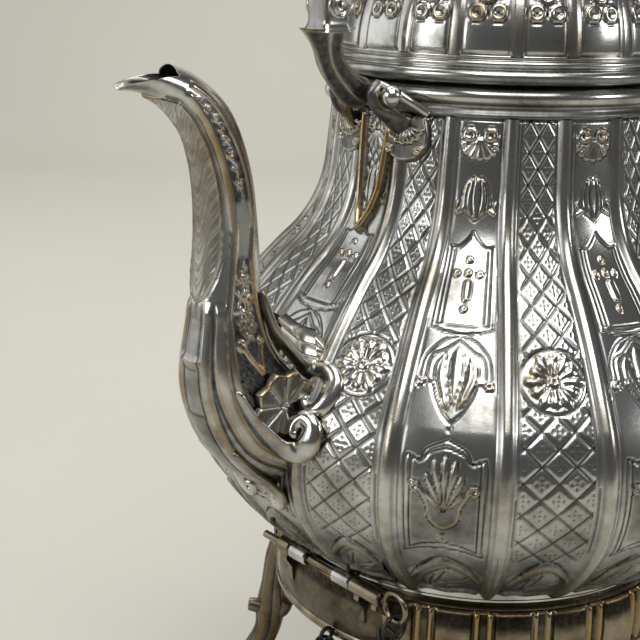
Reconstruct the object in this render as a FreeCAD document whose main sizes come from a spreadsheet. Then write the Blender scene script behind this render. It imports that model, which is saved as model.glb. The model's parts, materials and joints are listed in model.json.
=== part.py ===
import FreeCAD, Part
import math
import os
import Sketcher

# Tilting silver pot on its four-legged stand, in millimetres.
# Origin on the table under the pot's axis, +Z up, spout towards -X.

SIZES = {
    # stand
    "seat_z": 107.5, "ring_r": 66.0, "ring_low_z": 87.5, "ring_wall": 2.5, "ledge_r": 57.0,
    "ledge_t": 2.0, "flange_r": 68.0, "flange_t": 1.6, "gallery_rib": 1.2, "gallery_gap": 3.9,
    "gallery_proud": 0.9, "gallery_step": 15.0,
    "leg_step": 90.0, "leg_first": 45.0, "foot_r": 9.5, "foot_t": 6.0, "foot_reach": 95.0,
    "bud_reach": 90.0, "bud_z": 59.0, "bud_r": 4.6,
    # burner
    "holder_r": 33.0, "holder_bore": 27.5, "holder_z": 43.0, "holder_t": 5.0,
    "holder_arm_r": 2.4, "holder_arm_reach": 76.5,
    "bowl_r": 26.8, "bowl_deep": 22.0, "tin": 1.0, "bowl_lip_r": 31.5, "cover_rise": 5.0,
    "cover_flat_r": 12.0, "wick_tube_r": 7.0, "wick_tube_top": 66.0, "wick_r": 5.8, "wick_top": 69.0,
    "cap_r": 10.5, "cap_low": 61.0, "cap_top": 72.5, "cap_hinge_x": 16.0, "cap_hinge_z": 57.5,
    "cap_pin_r": 1.0, "cap_lug_half": 2.0,
    # hinge under the spout and lock at the back
    "hinge_x": 69.0, "hinge_z": 110.0, "knuckle_r": 2.6, "hinge_pin_r": 1.25, "run_gap": 0.05,
    "knuckle_in": 13.9, "knuckle_gap": 0.4, "knuckle_out": 27.0, "lock_in": 8.2, "lock_out": 21.0,
    "loop_r": 4.2, "loop_wire": 0.85,
    "lock_draw": 31.0, "leaf_t": 3.4, "leaf_low": 102.0, "link_r": 3.1, "link_wire": 0.65,
    "eye_r": 2.2,
    # pot body, as radius and height of the corners of its pear outline
    "wall": 1.4, "base_r": 66.5, "base_z": 113.5, "swell_r": 90.5, "swell_z": 138.7,
    "shoulder_r": 90.0, "shoulder_z": 172.0, "waist_r": 65.5, "waist_z": 203.5,
    "throat_r": 51.9, "throat_z": 230.5, "neck_r": 50.0, "neck_z": 248.5,
    "foot_bend": 72.0, "belly_bend": 37.2, "slope_bend": 176.0, "throat_bend": 42.0,
    "plate_t": 1.5, "rim_r": 65.8, "rib_w": 3.2, "rib_h": 1.2, "strap_half": 9.5, "panel_step": 36.0,
    "strainer_hole": 2.0, "strainer_ring": 8.0, "strainer_z": 163.0,
    # collar and lid
    "collar_bore": 47.5, "collar_r": 52.4, "collar_top": 258.0, "bezel_gap": 0.35, "bezel_deep": 8.5,
    "lid_rim_r": 53.8, "lid_rim_top": 265.5, "dome_r": 51.0, "dome_crown_r": 40.0,
    "dome_crown_z": 292.5, "dome_top_r": 8.0, "dome_top": 302.0, "dome_bend": 40.0,
    "crown_bend": 68.0, "lid_wall": 1.2, "lid_rib_w": 2.2, "lid_rib_h": 0.8,
    "finial_top": 330.0, "finial_r": 8.5, "finial_flat": 1.2, "shank_r": 2.4, "nut_r": 5.5, "nut_t": 3.0,
    # spout
    "spout_wall": 1.2, "mouth_high": 263.6, "mouth_slope": 11.5, "mouth_x": 116.0,
    "leaf_half": 5.2, "leaf_proud": 1.7, "shell_x": 91.0, "shell_z": 159.0, "shell_r": 15.0,
    "shell_lobe": 4.4, "shell_out": 17.4,
    # handle
    "pin_x": 58.0, "pin_z": 253.8, "pin_r": 1.5, "pin_ball_r": 3.0, "pin_half": 11.6,
    "lug_in": 5.6, "lug_t": 3.4, "lug_eye_r": 4.2, "shield_y": 10.8, "shield_half": 6.6,
    "shield_low": 234.6, "shield_top": 248.2, "shield_t": 1.8, "arm_r": 71.5, "arm_top": 264.5,
    "cup_r": 9.1, "cup_t": 7.5, "block": 13.0, "block_t": 12.0,
    "bow_deep": 9.0, "bow_half": 4.2, "bow_bend": 46.98, "grip_arc": 105.0, "grip_half": 25.0,
    "grip_r": 6.0, "bone_r": 7.4, "bone_half": 1.5,
}

PANELS = 10
SHELL_LOBES = 7
LINKS = 6
SIDES = {"front": 180.0, "rear": 0.0}
CORNERS = {"rear_left": 0, "front_left": 1, "front_right": 2, "rear_right": 3}

doc = FreeCAD.newDocument("TiltingPot")
sheet = doc.addObject("Spreadsheet::Sheet", "Sizes")
for row, (alias, number) in enumerate(SIZES.items(), start=1):
    sheet.set(f"A{row}", alias)
    sheet.set(f"B{row}", str(number))
    sheet.setAlias(f"B{row}", alias)
doc.recompute()


class Size:
    """A length with its number and the sheet expression that gives it."""

    def __init__(self, number, text):
        self.number = number
        self.text = text

    def __add__(self, other):
        other = sized(other)
        return Size(self.number + other.number, f"({self.text} + {other.text})")

    def __sub__(self, other):
        other = sized(other)
        return Size(self.number - other.number, f"({self.text} - {other.text})")

    def __mul__(self, other):
        other = sized(other)
        return Size(self.number * other.number, f"({self.text} * {other.text})")

    def __truediv__(self, other):
        other = sized(other)
        return Size(self.number / other.number, f"({self.text} / {other.text})")

    def __radd__(self, other):
        return sized(other) + self

    def __rsub__(self, other):
        return sized(other) - self

    def __rmul__(self, other):
        return sized(other) * self

    def __neg__(self):
        return Size(-self.number, f"(-1 * {self.text})")


def sized(value):
    return value if isinstance(value, Size) else Size(float(value), str(float(value)))


def s(alias):
    return Size(float(sheet.get(alias)), f"Sizes.{alias}")


def sine(angle):
    return Size(math.sin(math.radians(angle.number)), f"sin({angle.text} * 1 deg)")


def cosine(angle):
    return Size(math.cos(math.radians(angle.number)), f"cos({angle.text} * 1 deg)")


def bind(item, **sizes):
    """Bind properties of a document object to sheet expressions."""
    for name, size in sizes.items():
        item.setExpression(name, sized(size).text)


def place(item, x=0.0, y=0.0, z=0.0, turn=FreeCAD.Rotation()):
    """Put an object at a bound position with a rotation."""
    spot = [sized(value) for value in (x, y, z)]
    item.Placement = FreeCAD.Placement(FreeCAD.Vector(*[v.number for v in spot]), turn)
    for axis, value in zip("xyz", spot):
        item.setExpression(f".Placement.Base.{axis}", value.text)
    return item


def about_z(degrees):
    return FreeCAD.Rotation(FreeCAD.Vector(0, 0, 1), degrees)


ALONG_Y = FreeCAD.Rotation(FreeCAD.Vector(1, 0, 0), -90)
ALONG_X = FreeCAD.Rotation(FreeCAD.Vector(0, 1, 0), 90)


def origin_plane(body, role):
    return next(item for item in body.Origin.OriginFeatures if item.Role == role)


def new_body(label):
    body = doc.addObject("PartDesign::Body", label)
    body.Label = label
    return body


def fix_point(sketch, geometry, end, x, y):
    """Constrain one end of a sketch edge to bound coordinates."""
    for kind, axis, value in (("DistanceX", -2, sized(x)), ("DistanceY", -1, sized(y))):
        if value.number == 0.0:
            sketch.addConstraint(Sketcher.Constraint("PointOnObject", geometry, end, axis))
            continue
        index = sketch.addConstraint(Sketcher.Constraint(kind, -1, 1, geometry, end, value.number))
        sketch.setExpression(f"Constraints[{index}]", value.text)


def edge_between(start, corner):
    """A sketch edge to corner, with the ends it starts and stops at.
    A corner's third value is the radius of an arc that turns left, or right if negative."""
    a = FreeCAD.Vector(sized(start[0]).number, sized(start[1]).number)
    b = FreeCAD.Vector(sized(corner[0]).number, sized(corner[1]).number)
    if len(corner) == 2:
        return Part.LineSegment(a, b), 1, 2
    bend = sized(corner[2]).number
    half = (b - a) * 0.5
    reach = math.sqrt(max(bend * bend - half.Length ** 2, 0.0))
    left = FreeCAD.Vector(-half.y, half.x).normalize()
    centre = a + half + left * (reach if bend > 0 else -reach)
    first, last = (a, b) if bend > 0 else (b, a)
    angles = [math.atan2(p.y - centre.y, p.x - centre.x) for p in (first, last)]
    circle = Part.Circle(centre, FreeCAD.Vector(0, 0, 1), abs(bend))
    arc = Part.ArcOfCircle(circle, angles[0], angles[1])
    return (arc, 1, 2) if bend > 0 else (arc, 2, 1)


def outline(body, name, role, corners):
    """A closed sketch through the corners on one of the body's origin planes."""
    sketch = body.newObject("Sketcher::SketchObject", name)
    sketch.AttachmentSupport = [(origin_plane(body, role), "")]
    sketch.MapMode = "FlatFace"
    edges = []
    for index, corner in enumerate(corners):
        shape, begin, stop = edge_between(corners[index - 1], corner)
        edges.append((sketch.addGeometry(shape, False), begin, stop))
    for index, (geometry, begin, stop) in enumerate(edges):
        before = edges[index - 1]
        sketch.addConstraint(Sketcher.Constraint("Coincident", before[0], before[2], geometry, begin))
    for (geometry, begin, stop), corner in zip(edges, corners):
        fix_point(sketch, geometry, stop, corner[0], corner[1])
        if len(corner) == 3:
            bend = sized(corner[2])
            bend = bend if bend.number > 0 else -bend
            index = sketch.addConstraint(Sketcher.Constraint("Radius", geometry, bend.number))
            sketch.setExpression(f"Constraints[{index}]", bend.text)
    return sketch


def turned(label, corners):
    """A body turned about Z from a closed outline of (radius, height) corners."""
    body = new_body(label)
    sketch = outline(body, f"{label}_profile", "XZ_Plane", corners)
    spin = body.newObject("PartDesign::Revolution", f"{label}_turn")
    spin.Profile = sketch
    spin.ReferenceAxis = (sketch, ["V_Axis"])
    spin.Angle = 360.0
    sketch.Visibility = False
    return body


def plate(label, role, corners, thickness, body=None):
    """A flat piece padded evenly to both sides of an origin plane."""
    body = body or new_body(label)
    sketch = outline(body, f"{label}_outline", role, corners)
    pad = body.newObject("PartDesign::Pad", f"{label}_pad")
    pad.Profile = sketch
    pad.SideType = "Symmetric"
    bind(pad, Length=thickness)
    return pad


def repeat(body, features, count, step):
    """Repeat body features about Z; step is the angle from one to the next."""
    pattern = body.newObject("PartDesign::PolarPattern", f"{features[0].Name}_round")
    pattern.Originals = features
    pattern.Axis = (origin_plane(body, "Z_Axis"), [""])
    bind(pattern, Angle=step * (count - 1) if count * step.number < 360 else sized(360.0))
    pattern.Occurrences = count
    body.Tip = pattern
    return pattern


def cylinder(label, radius, height):
    item = doc.addObject("Part::Cylinder", label)
    bind(item, Radius=radius, Height=height)
    return item


def box(label, length, width, height):
    item = doc.addObject("Part::Box", label)
    bind(item, Length=length, Width=width, Height=height)
    return item


def ring(label, radius, wire, sweep=None):
    item = doc.addObject("Part::Torus", label)
    bind(item, Radius1=radius, Radius2=wire)
    if sweep is not None:
        bind(item, Angle3=sweep)
    return item


def cut(label, base, tool):
    item = doc.addObject("Part::Cut", label)
    item.Base = base
    item.Tool = tool
    item.Label = label
    return item


def fuse(label, shapes):
    item = doc.addObject("Part::MultiFuse", label)
    item.Shapes = shapes
    item.Label = label
    return item


def loft(label, stations, inset=None):
    """A smooth solid through ellipses along a path in the XZ plane.
    A station is (x, z, heading in degrees, half width along Y, half depth)."""
    sections = []
    for index, (x, z, heading, across, deep) in enumerate(stations):
        section = doc.addObject("Part::Ellipse", f"{label}_{index}")
        shrink = inset or sized(0.0)
        bind(section, MajorRadius=deep - shrink, MinorRadius=across - shrink)
        angle = math.radians(heading)
        along = FreeCAD.Vector(math.cos(angle), 0, math.sin(angle))
        side = FreeCAD.Vector(-math.sin(angle), 0, math.cos(angle))
        turn = FreeCAD.Rotation(side, along.cross(side), along, "ZXY")
        place(section, x, 0.0, z, turn)
        sections.append(section)
    item = doc.addObject("Part::Loft", label)
    item.Sections = sections
    item.Solid = True
    item.Ruled = False
    return item


def pear(outset, reverse=False):
    """Corners of the pot's side from foot to neck, moved outwards by outset."""
    rows = [
        (s("base_r"), s("base_z"), None),
        (s("swell_r"), s("swell_z"), s("foot_bend")),
        (s("shoulder_r"), s("shoulder_z"), s("belly_bend")),
        (s("waist_r"), s("waist_z"), s("slope_bend")),
        (s("throat_r"), s("throat_z"), -s("throat_bend")),
        (s("neck_r"), s("neck_z"), None),
    ]
    if not reverse:
        return [(r + outset, z) if bend is None else (r + outset, z, bend) for r, z, bend in rows]
    back = []
    for index in range(len(rows) - 1, -1, -1):
        r, z, _ = rows[index]
        bend = rows[index + 1][2] if index + 1 < len(rows) else None
        back.append((r + outset, z) if bend is None else (r + outset, z, -bend))
    return back


def ribbed(body, label, corners, width, angles):
    """Chased ribs down a turned body: one plate on the meridian, repeated at each angle."""
    for index, angle in enumerate(angles):
        rib = plate(f"{label}_{index}", "XZ_Plane", corners, width, body)
        sketch = rib.Profile[0]
        sketch.AttachmentOffset = FreeCAD.Placement(FreeCAD.Vector(), about_y_up(angle.number))
        sketch.setExpression(".AttachmentOffset.Rotation.Angle", angle.text)
        repeat(body, [rib], PANELS, s("panel_step"))


def about_y_up(degrees):
    """Turn of a sketch on the XZ plane about the vertical."""
    return FreeCAD.Rotation(FreeCAD.Vector(0, 1, 0), degrees)


def pot_body():
    """Raised pear-shaped shell with its ribs and the strainer holes behind the spout."""
    body = turned("body_shell", pear(sized(0.0)) + pear(-s("wall"), reverse=True))
    sunk = s("wall") / 2
    ribbed(body, "rib", pear(s("rib_h")) + pear(-sunk, reverse=True), s("rib_w"),
           [s("strap_half"), s("panel_step") - s("strap_half")])
    sketch = body.newObject("Sketcher::SketchObject", "strainer")
    sketch.AttachmentSupport = [(origin_plane(body, "YZ_Plane"), "")]
    sketch.MapMode = "FlatFace"
    spots = [(sized(0.0), sized(0.0))]
    for turn in range(6):
        angle = sized(60.0 * turn + 30.0)
        spots.append((s("strainer_ring") * cosine(angle), s("strainer_ring") * sine(angle)))
    for y, z in spots:
        height = s("strainer_z") + z
        centre = FreeCAD.Vector(y.number, height.number)
        hole = sketch.addGeometry(Part.Circle(centre, FreeCAD.Vector(0, 0, 1),
                                              s("strainer_hole").number))
        fix_point(sketch, hole, 3, y if abs(y.number) > 1e-6 else 0.0, height)
        index = sketch.addConstraint(Sketcher.Constraint("Radius", hole, s("strainer_hole").number))
        sketch.setExpression(f"Constraints[{index}]", s("strainer_hole").text)
    doc.recompute()
    whole = body.Shape.Volume
    holes = body.newObject("PartDesign::Pocket", "strainer_holes")
    holes.Profile = sketch
    holes.Type = "Length"
    bind(holes, Length=s("swell_r") + s("belly_bend"))
    holes.Reversed = False
    doc.recompute()
    if body.Shape.Volume >= whole:
        holes.Reversed = True
        doc.recompute()
    return body


def pot_core():
    """Solid inside of the pot, used to trim what is soldered to its wall."""
    corners = pear(-s("wall") / 2)
    return turned("pot_core", corners + [(0.0, s("neck_z")), (0.0, s("base_z"))])


def pot_base():
    foot = s("seat_z")
    low = s("base_z") - s("plate_t")
    plate_item = cylinder("bottom_plate", s("base_r") - 0.2, s("plate_t"))
    place(plate_item, z=low)
    rim = turned("base_rim", [
        (s("ledge_r"), low), (s("rim_r"), low), (s("rim_r"), low - 1.0),
        (s("rim_r") - 1.4, low - 2.0, -1.4), (s("rim_r") - 1.4, low - 2.8),
        (s("rim_r") - 2.4, foot), (s("ledge_r") + 1.5, foot), (s("ledge_r"), foot + 1.5)])
    return [plate_item, rim]


def collar():
    low, top, r = s("neck_z"), s("collar_top"), s("collar_r")
    return turned("neck_collar", [
        (s("collar_bore"), low), (r - 0.2, low), (r - 0.2, low + 1.5), (r - 1.2, low + 2.5, -1.0),
        (r - 1.2, top - 2.8), (r, top - 1.6, 1.3), (r, top), (s("collar_bore"), top)])


def lid():
    seat, top, r = s("collar_top"), s("lid_rim_top"), s("lid_rim_r")
    inner = s("collar_bore") - 1.5
    rim = turned("lid_rim", [
        (inner, seat), (r - 0.8, seat), (r, seat + 1.0), (r, seat + 2.6, 0.9), (r - 1.2, seat + 3.4),
        (r - 1.2, seat + 4.8), (r - 0.5, seat + 5.8, 0.8), (r - 1.6, top), (inner, top)])
    bezel_r = s("collar_bore") - s("bezel_gap")
    bezel = turned("lid_bezel", [
        (bezel_r - s("lid_wall"), seat - s("bezel_deep")), (bezel_r, seat - s("bezel_deep")),
        (bezel_r, seat), (bezel_r - s("lid_wall"), seat)])

    def dome_side(outset):
        return [(s("dome_r") + outset, top),
                (s("dome_crown_r") + outset, s("dome_crown_z") + outset, s("dome_bend")),
                (s("dome_top_r"), s("dome_top") + outset, s("crown_bend"))]

    hole = s("shank_r") + 0.2
    inside = dome_side(-s("lid_wall"))
    back = [(hole, inside[2][1]), (inside[2][0], inside[2][1]),
            (inside[1][0], inside[1][1], -s("crown_bend")), (inside[0][0], top, -s("dome_bend"))]
    dome = turned("lid_dome", dome_side(sized(0.0)) + [(hole, s("dome_top"))] + back)
    low, high = dome_side(-s("lid_wall") / 2), dome_side(s("lid_rib_h"))
    stop = s("finial_r") + 1.0
    high[2] = (stop, high[2][1], s("crown_bend"))
    rib_back = [(stop, low[2][1]), (low[1][0], low[1][1], -s("crown_bend")),
                (low[0][0], top, -s("dome_bend"))]
    ribbed(dome, "lid_rib", high + rib_back, s("lid_rib_w"),
           [s("strap_half"), s("panel_step") - s("strap_half")])
    return [rim, bezel, dome]


def finial():
    low, top, r, shank = s("dome_top"), s("finial_top"), s("finial_r"), s("shank_r")
    hole = shank + 0.2
    washer = turned("finial_collar", [
        (hole, low), (r, low), (r, low + 1.0), (r - 1.6, low + 2.4, 1.6), (hole, low + 2.4)])
    seat = low + 2.4
    knob = turned("finial", [
        (0.0, seat - 8.6), (shank, seat - 8.6), (shank, seat), (r - 3.2, seat),
        (r - 5.2, seat + 3.0, -4.0), (r - 4.6, seat + 6.0, -5.0), (r, seat + 13.0, 9.0),
        (r - 4.0, seat + 20.0, 9.5), (s("finial_flat"), top, 6.0), (0.0, top)])
    under = low - s("lid_wall")
    nut = turned("finial_nut", [
        (shank + s("run_gap"), under - s("nut_t")), (s("nut_r"), under - s("nut_t")),
        (s("nut_r"), under), (shank + s("run_gap"), under)])
    return [washer, knob, nut]


# Spout path from inside the belly to the lip: x, z, heading, half width, half depth.
SPOUT_PATH = [
    (78.0, 158.0, 14, 15.0, 19.0), (95.0, 166.0, 42, 14.6, 17.0), (104.0, 181.0, 74, 12.6, 14.4),
    (105.8, 198.0, 89, 9.8, 10.2), (105.6, 216.0, 90, 8.4, 8.8), (107.0, 234.0, 80, 7.6, 8.1),
    (112.0, 248.0, 58, 6.8, 7.4), (120.5, 256.0, 29, 5.8, 6.4), (131.0, 259.6, 8, 4.6, 5.0),
    (141.8, 259.4, -6, 3.2, 3.5),
]


def spout(body, core):
    """Cast spout: hollow tapered tube, trimmed to the belly and cut open along its beak."""
    stations = [tuple(sized(v) if i != 2 else v for i, v in enumerate(row)) for row in SPOUT_PATH]
    outer = loft("spout_outer", stations)
    bore = loft("spout_bore", stations, s("spout_wall"))
    tube = cut("spout_tube", outer, bore)
    lid_box = box("mouth_cut", s("grip_arc"), s("shell_r") * 2, s("shell_r"))
    slope = FreeCAD.Rotation(FreeCAD.Vector(0, 1, 0), s("mouth_slope").number)
    place(lid_box, s("mouth_x"), -s("shell_r"), s("mouth_high"), slope)
    tube = cut("spout_open", tube, lid_box)
    tube = cut("spout_trim", tube, core)
    made = [cut("spout", tube, body)]
    half = s("leaf_half")
    leaf_line = [(131.0, 254.4), (122.4, 249.8), (117.4, 243.0), (115.0, 233.0), (114.4, 216.0),
                 (115.4, 203.0)]
    proud = s("leaf_proud")
    front = [(sized(x) + proud * 0.7, sized(z) - proud * 0.7) for x, z in leaf_line[:3]]
    front += [(sized(x) + proud, sized(z)) for x, z in leaf_line[3:]]
    tip = [(front[-1][0] + 1.6, front[-1][1] - 5.0), (front[-1][0] + 1.2, front[-1][1] - 9.0),
           (front[-1][0] - 4.0, front[-1][1] - 7.0)]
    back = [(sized(x) - 4.0, sized(z) + 3.0) for x, z in reversed(leaf_line)]
    plate("leaf_blank", "XZ_Plane", front + tip + back, half * 2)
    made.append(cut("spout_leaf", doc.getObject("leaf_blank"), outer))
    for side, sign in (("right", 1.0), ("left", -1.0)):
        fan = scallop(f"shell_blank_{side}", sign)
        fan = cut(f"shell_off_spout_{side}", fan, outer)
        fan = cut(f"shell_off_core_{side}", fan, core)
        made.append(cut(f"spout_shell_{side}", fan, body))
    for item in made:
        item.Placement = FreeCAD.Placement(FreeCAD.Vector(), about_z(SIDES["front"]))
    return made


def scallop(label, sign):
    """Fan of lobes standing on the side of the spout's root."""
    x0, z0, r = s("shell_x"), s("shell_z"), s("shell_r")
    corners = [(x0, z0 - 4.0)]
    for lobe in range(SHELL_LOBES + 1):
        angle = sized(-35.0 + lobe * 160.0 / SHELL_LOBES)
        spot = (x0 + r * cosine(angle), z0 + r * sine(angle))
        corners.append(spot if lobe == 0 else spot + (s("shell_lobe"),))
    body = new_body(label)
    sketch = outline(body, f"{label}_outline", "XZ_Plane", corners)
    pad = body.newObject("PartDesign::Pad", f"{label}_pad")
    pad.Profile = sketch
    bind(pad, Length=s("shell_out"))
    pad.Reversed = sign < 0
    return body


def handle_lug(label, sign, turn, body, core, outside):
    """Shield soldered to the neck with the ear that carries the handle's pin."""
    x, z, eye = s("pin_x"), s("pin_z"), s("lug_eye_r")
    middle = s("lug_in") + s("lug_t") / 2
    ear = new_body(f"{label}_ear")
    plate(f"{label}_ear", "XZ_Plane", [
        (x - eye, z), (x, z - eye, eye), (x + eye, z, eye), (x, z + eye, eye), (x - eye, z, eye)][1:],
        s("lug_t"), ear)
    place(ear, y=middle * sign)
    stem = new_body(f"{label}_stem")
    root = s("neck_r") - s("wall") * 2
    plate(f"{label}_stem", "XZ_Plane", [
        (root, s("shield_low") + 3.0), (s("neck_r") + 3.0, s("shield_low") + 3.0),
        (x + eye * 0.5, z - eye * 0.8, 12.0), (x - eye * 0.7, z - eye * 0.7),
        (s("collar_r") + 1.0, s("shield_top")), (root, s("shield_top"))], s("lug_t"), stem)
    place(stem, y=middle * sign)
    low, top, half, y = s("shield_low"), s("shield_top"), s("shield_half"), s("shield_y") * sign
    mid = (low + top) / 2
    shield = new_body(f"{label}_shield")
    plate(f"{label}_shield", "YZ_Plane", [
        (y - half + 0.6, top), (y - half, mid, half * 2), (y, low, half * 1.4),
        (y + half, mid, half * 1.4), (y + half - 0.6, top, half * 2)], s("neck_r") / 2, shield)
    place(shield, x=s("neck_r"))
    shield = cut(f"{label}_curve", shield, outside)
    lump = fuse(f"{label}_lump", [ear, stem, shield])
    lump = cut(f"{label}_off_core", lump, core)
    lump = cut(f"{label}_off_shell", lump, body)
    drill = cylinder(f"{label}_drill", s("pin_r") + s("run_gap"), s("pin_half") * 4)
    place(drill, x, -s("pin_half") * 2, z, ALONG_Y)
    item = cut(label, lump, drill)
    item.Placement = FreeCAD.Placement(FreeCAD.Vector(), about_z(turn))
    return item


ARM_PATH = [
    (58.4, 253.9, 12, 4.4, 4.5), (62.6, 255.0, 30, 5.0, 5.1), (67.4, 258.6, 48, 5.4, 5.5),
    (70.4, 262.0, 70, 5.3, 5.4), (71.5, 264.5, 90, 5.0, 5.1),
]


def handle_side(name, turn, body, core):
    """One side of the overhead handle: lugs, pin, fluted arm, leaf cup and square bow."""
    made = []
    around = box(f"around_{name}", s("neck_r") * 4, s("neck_r") * 4, s("neck_z"))
    place(around, -s("neck_r") * 2, -s("neck_r") * 2, s("waist_z"))
    skin = turned(f"shield_skin_{name}", [
        (0.0, s("waist_z")), (s("waist_r") + s("shield_t"), s("waist_z")),
        (s("throat_r") + s("shield_t"), s("throat_z"), -s("throat_bend")),
        (s("neck_r") + s("shield_t"), s("neck_z")), (0.0, s("neck_z"))])
    outside = cut(f"outside_{name}", around, skin)
    for side, sign in (("left", -1.0), ("right", 1.0)):
        made.append(handle_lug(f"handle_lug_{name}_{side}", sign, turn, body, core, outside))
    x, z = s("pin_x"), s("pin_z")
    rod = cylinder(f"rod_{name}", s("pin_r"), s("pin_half") * 2)
    place(rod, x, -s("pin_half"), z, ALONG_Y)
    balls = []
    for sign in (-1.0, 1.0):
        ball = doc.addObject("Part::Sphere", f"ball_{name}_{int(sign)}")
        bind(ball, Radius=s("pin_ball_r"))
        balls.append(place(ball, x, s("pin_half") * sign, z))
    pin = fuse(f"handle_pin_{name}", [rod] + balls)
    barrel = cylinder(f"barrel_{name}", s("lug_eye_r"), s("lug_in") * 2 - 0.4)
    place(barrel, x, 0.2 - s("lug_in"), z, ALONG_Y)
    arm = loft(f"arm_{name}", [tuple(sized(v) if i != 2 else v for i, v in enumerate(row))
                               for row in ARM_PATH])
    drill = cylinder(f"arm_drill_{name}", s("pin_r") + s("run_gap"), s("pin_half") * 2)
    place(drill, x, -s("pin_half"), z, ALONG_Y)
    arm = cut(f"handle_arm_{name}", fuse(f"arm_blank_{name}", [barrel, arm]), drill)
    low, r = s("arm_top"), s("cup_r")
    floor = low + s("cup_t") * 0.56
    cup = turned(f"handle_cup_{name}", [
        (0.0, low), (r * 0.56, low), (r * 0.72, low + s("cup_t") * 0.35, -8.0),
        (r, low + s("cup_t"), -12.0), (r * 0.86, low + s("cup_t")), (r * 0.62, floor), (0.0, floor)])
    bow = square_bow(name, floor)
    for item in (pin, arm, bow):
        item.Placement = FreeCAD.Placement(FreeCAD.Vector(), about_z(turn))
    offset = s("arm_r") * (1.0 if turn == 0.0 else -1.0)
    place(cup, offset)
    return made + [pin, arm, cup, bow]


def square_bow(name, floor):
    """Square bar that rises from the cup and bends over towards the grip."""
    body = new_body(f"bow_bar_{name}")
    half = s("bow_deep") / 2
    bend, lean = s("bow_bend"), sized(90.0) - s("grip_half")
    centre_x = s("arm_r") - bend
    centre_z = s("grip_arc") * cosine(s("grip_half")) + grip_centre() - bend * sine(lean)
    outer, inner = bend + half, bend - half
    plate(f"bow_{name}", "XZ_Plane", [
        (s("arm_r") - half, floor), (s("arm_r") + half, floor), (s("arm_r") + half, centre_z),
        (centre_x + outer * cosine(lean), centre_z + outer * sine(lean), outer),
        (centre_x + inner * cosine(lean), centre_z + inner * sine(lean)),
        (s("arm_r") - half, centre_z, -inner)], s("bow_half") * 2, body)
    block = box(f"bow_block_{name}", s("block"), s("block"), s("block_t"))
    place(block, s("arm_r") - s("block") / 2, -s("block") / 2, s("arm_top") + s("cup_t"))
    return fuse(f"handle_bow_{name}", [body, block])


def grip_centre():
    """Height of the centre of the grip's arc."""
    return s("finial_top") + 21.5 - s("grip_arc")


def grip():
    """Arched grip between two bone washers."""
    made = []
    half, bone = s("grip_half"), s("bone_half")
    upright = FreeCAD.Rotation(FreeCAD.Vector(1, 0, 0), 90)
    pieces = [("handle_grip", s("grip_r"), half * 2 - bone * 2, 90.0 - half.number + bone.number),
              ("handle_insulator_front", s("bone_r"), bone, 90.0 + half.number - bone.number),
              ("handle_insulator_rear", s("bone_r"), bone, 90.0 - half.number)]
    for label, radius, sweep, start in pieces:
        item = ring(label, s("grip_arc"), radius, sweep)
        place(item, z=grip_centre(), turn=upright * about_z(start))
        made.append(item)
    return made


def knuckle(label, start, stop, sign, on_stand):
    """Hinge knuckle on the front (sign -1) or back (1) with its leaf on the stand or the pot."""
    x, z, r = s("hinge_x"), s("hinge_z"), s("knuckle_r")
    barrel = cylinder(f"{label}_barrel", r, stop - start)
    place(barrel, x, start, z, ALONG_Y)
    if on_stand:
        leaf = box(f"{label}_leaf", s("leaf_t") * 3, stop - start, z - s("leaf_low"))
        place(leaf, x + r * 0.5 - s("leaf_t") * 3, start, s("leaf_low"))
        keep = cylinder(f"{label}_ring", s("ring_r"), s("hinge_z"))
    else:
        leaf = box(f"{label}_leaf", s("leaf_t") * 2, stop - start, r * 1.2)
        place(leaf, x - s("leaf_t") * 2, start, z - r * 0.6)
        keep = cylinder(f"{label}_rim", s("rim_r"), s("base_z") - s("plate_t"))
    lump = cut(f"{label}_lump", fuse(f"{label}_blank", [barrel, leaf]), keep)
    drill = cylinder(f"{label}_drill", s("hinge_pin_r") + s("run_gap"), s("knuckle_out") * 4)
    place(drill, x, -s("knuckle_out") * 2, z, ALONG_Y)
    item = cut(label, lump, drill)
    item.Placement = FreeCAD.Placement(FreeCAD.Vector(), about_z(180.0 if sign < 0 else 0.0))
    return item


def loop_pin(label, sign, out, drawn):
    """Straight hinge pin with a wire loop on its -Y end, drawn out by some distance."""
    rod = cylinder(f"{label}_rod", s("hinge_pin_r"), out * 2 + 2.0)
    place(rod, 0.0, -(out + 1.0), 0.0, ALONG_Y)
    loop = ring(f"{label}_loop", s("loop_r"), s("loop_wire"))
    place(loop, 0.0, -(out + 1.0 + s("loop_r")), 0.0, ALONG_X)
    pin = fuse(label, [rod, loop])
    place(pin, s("hinge_x") * sign, -drawn, s("hinge_z"))
    return pin


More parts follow.
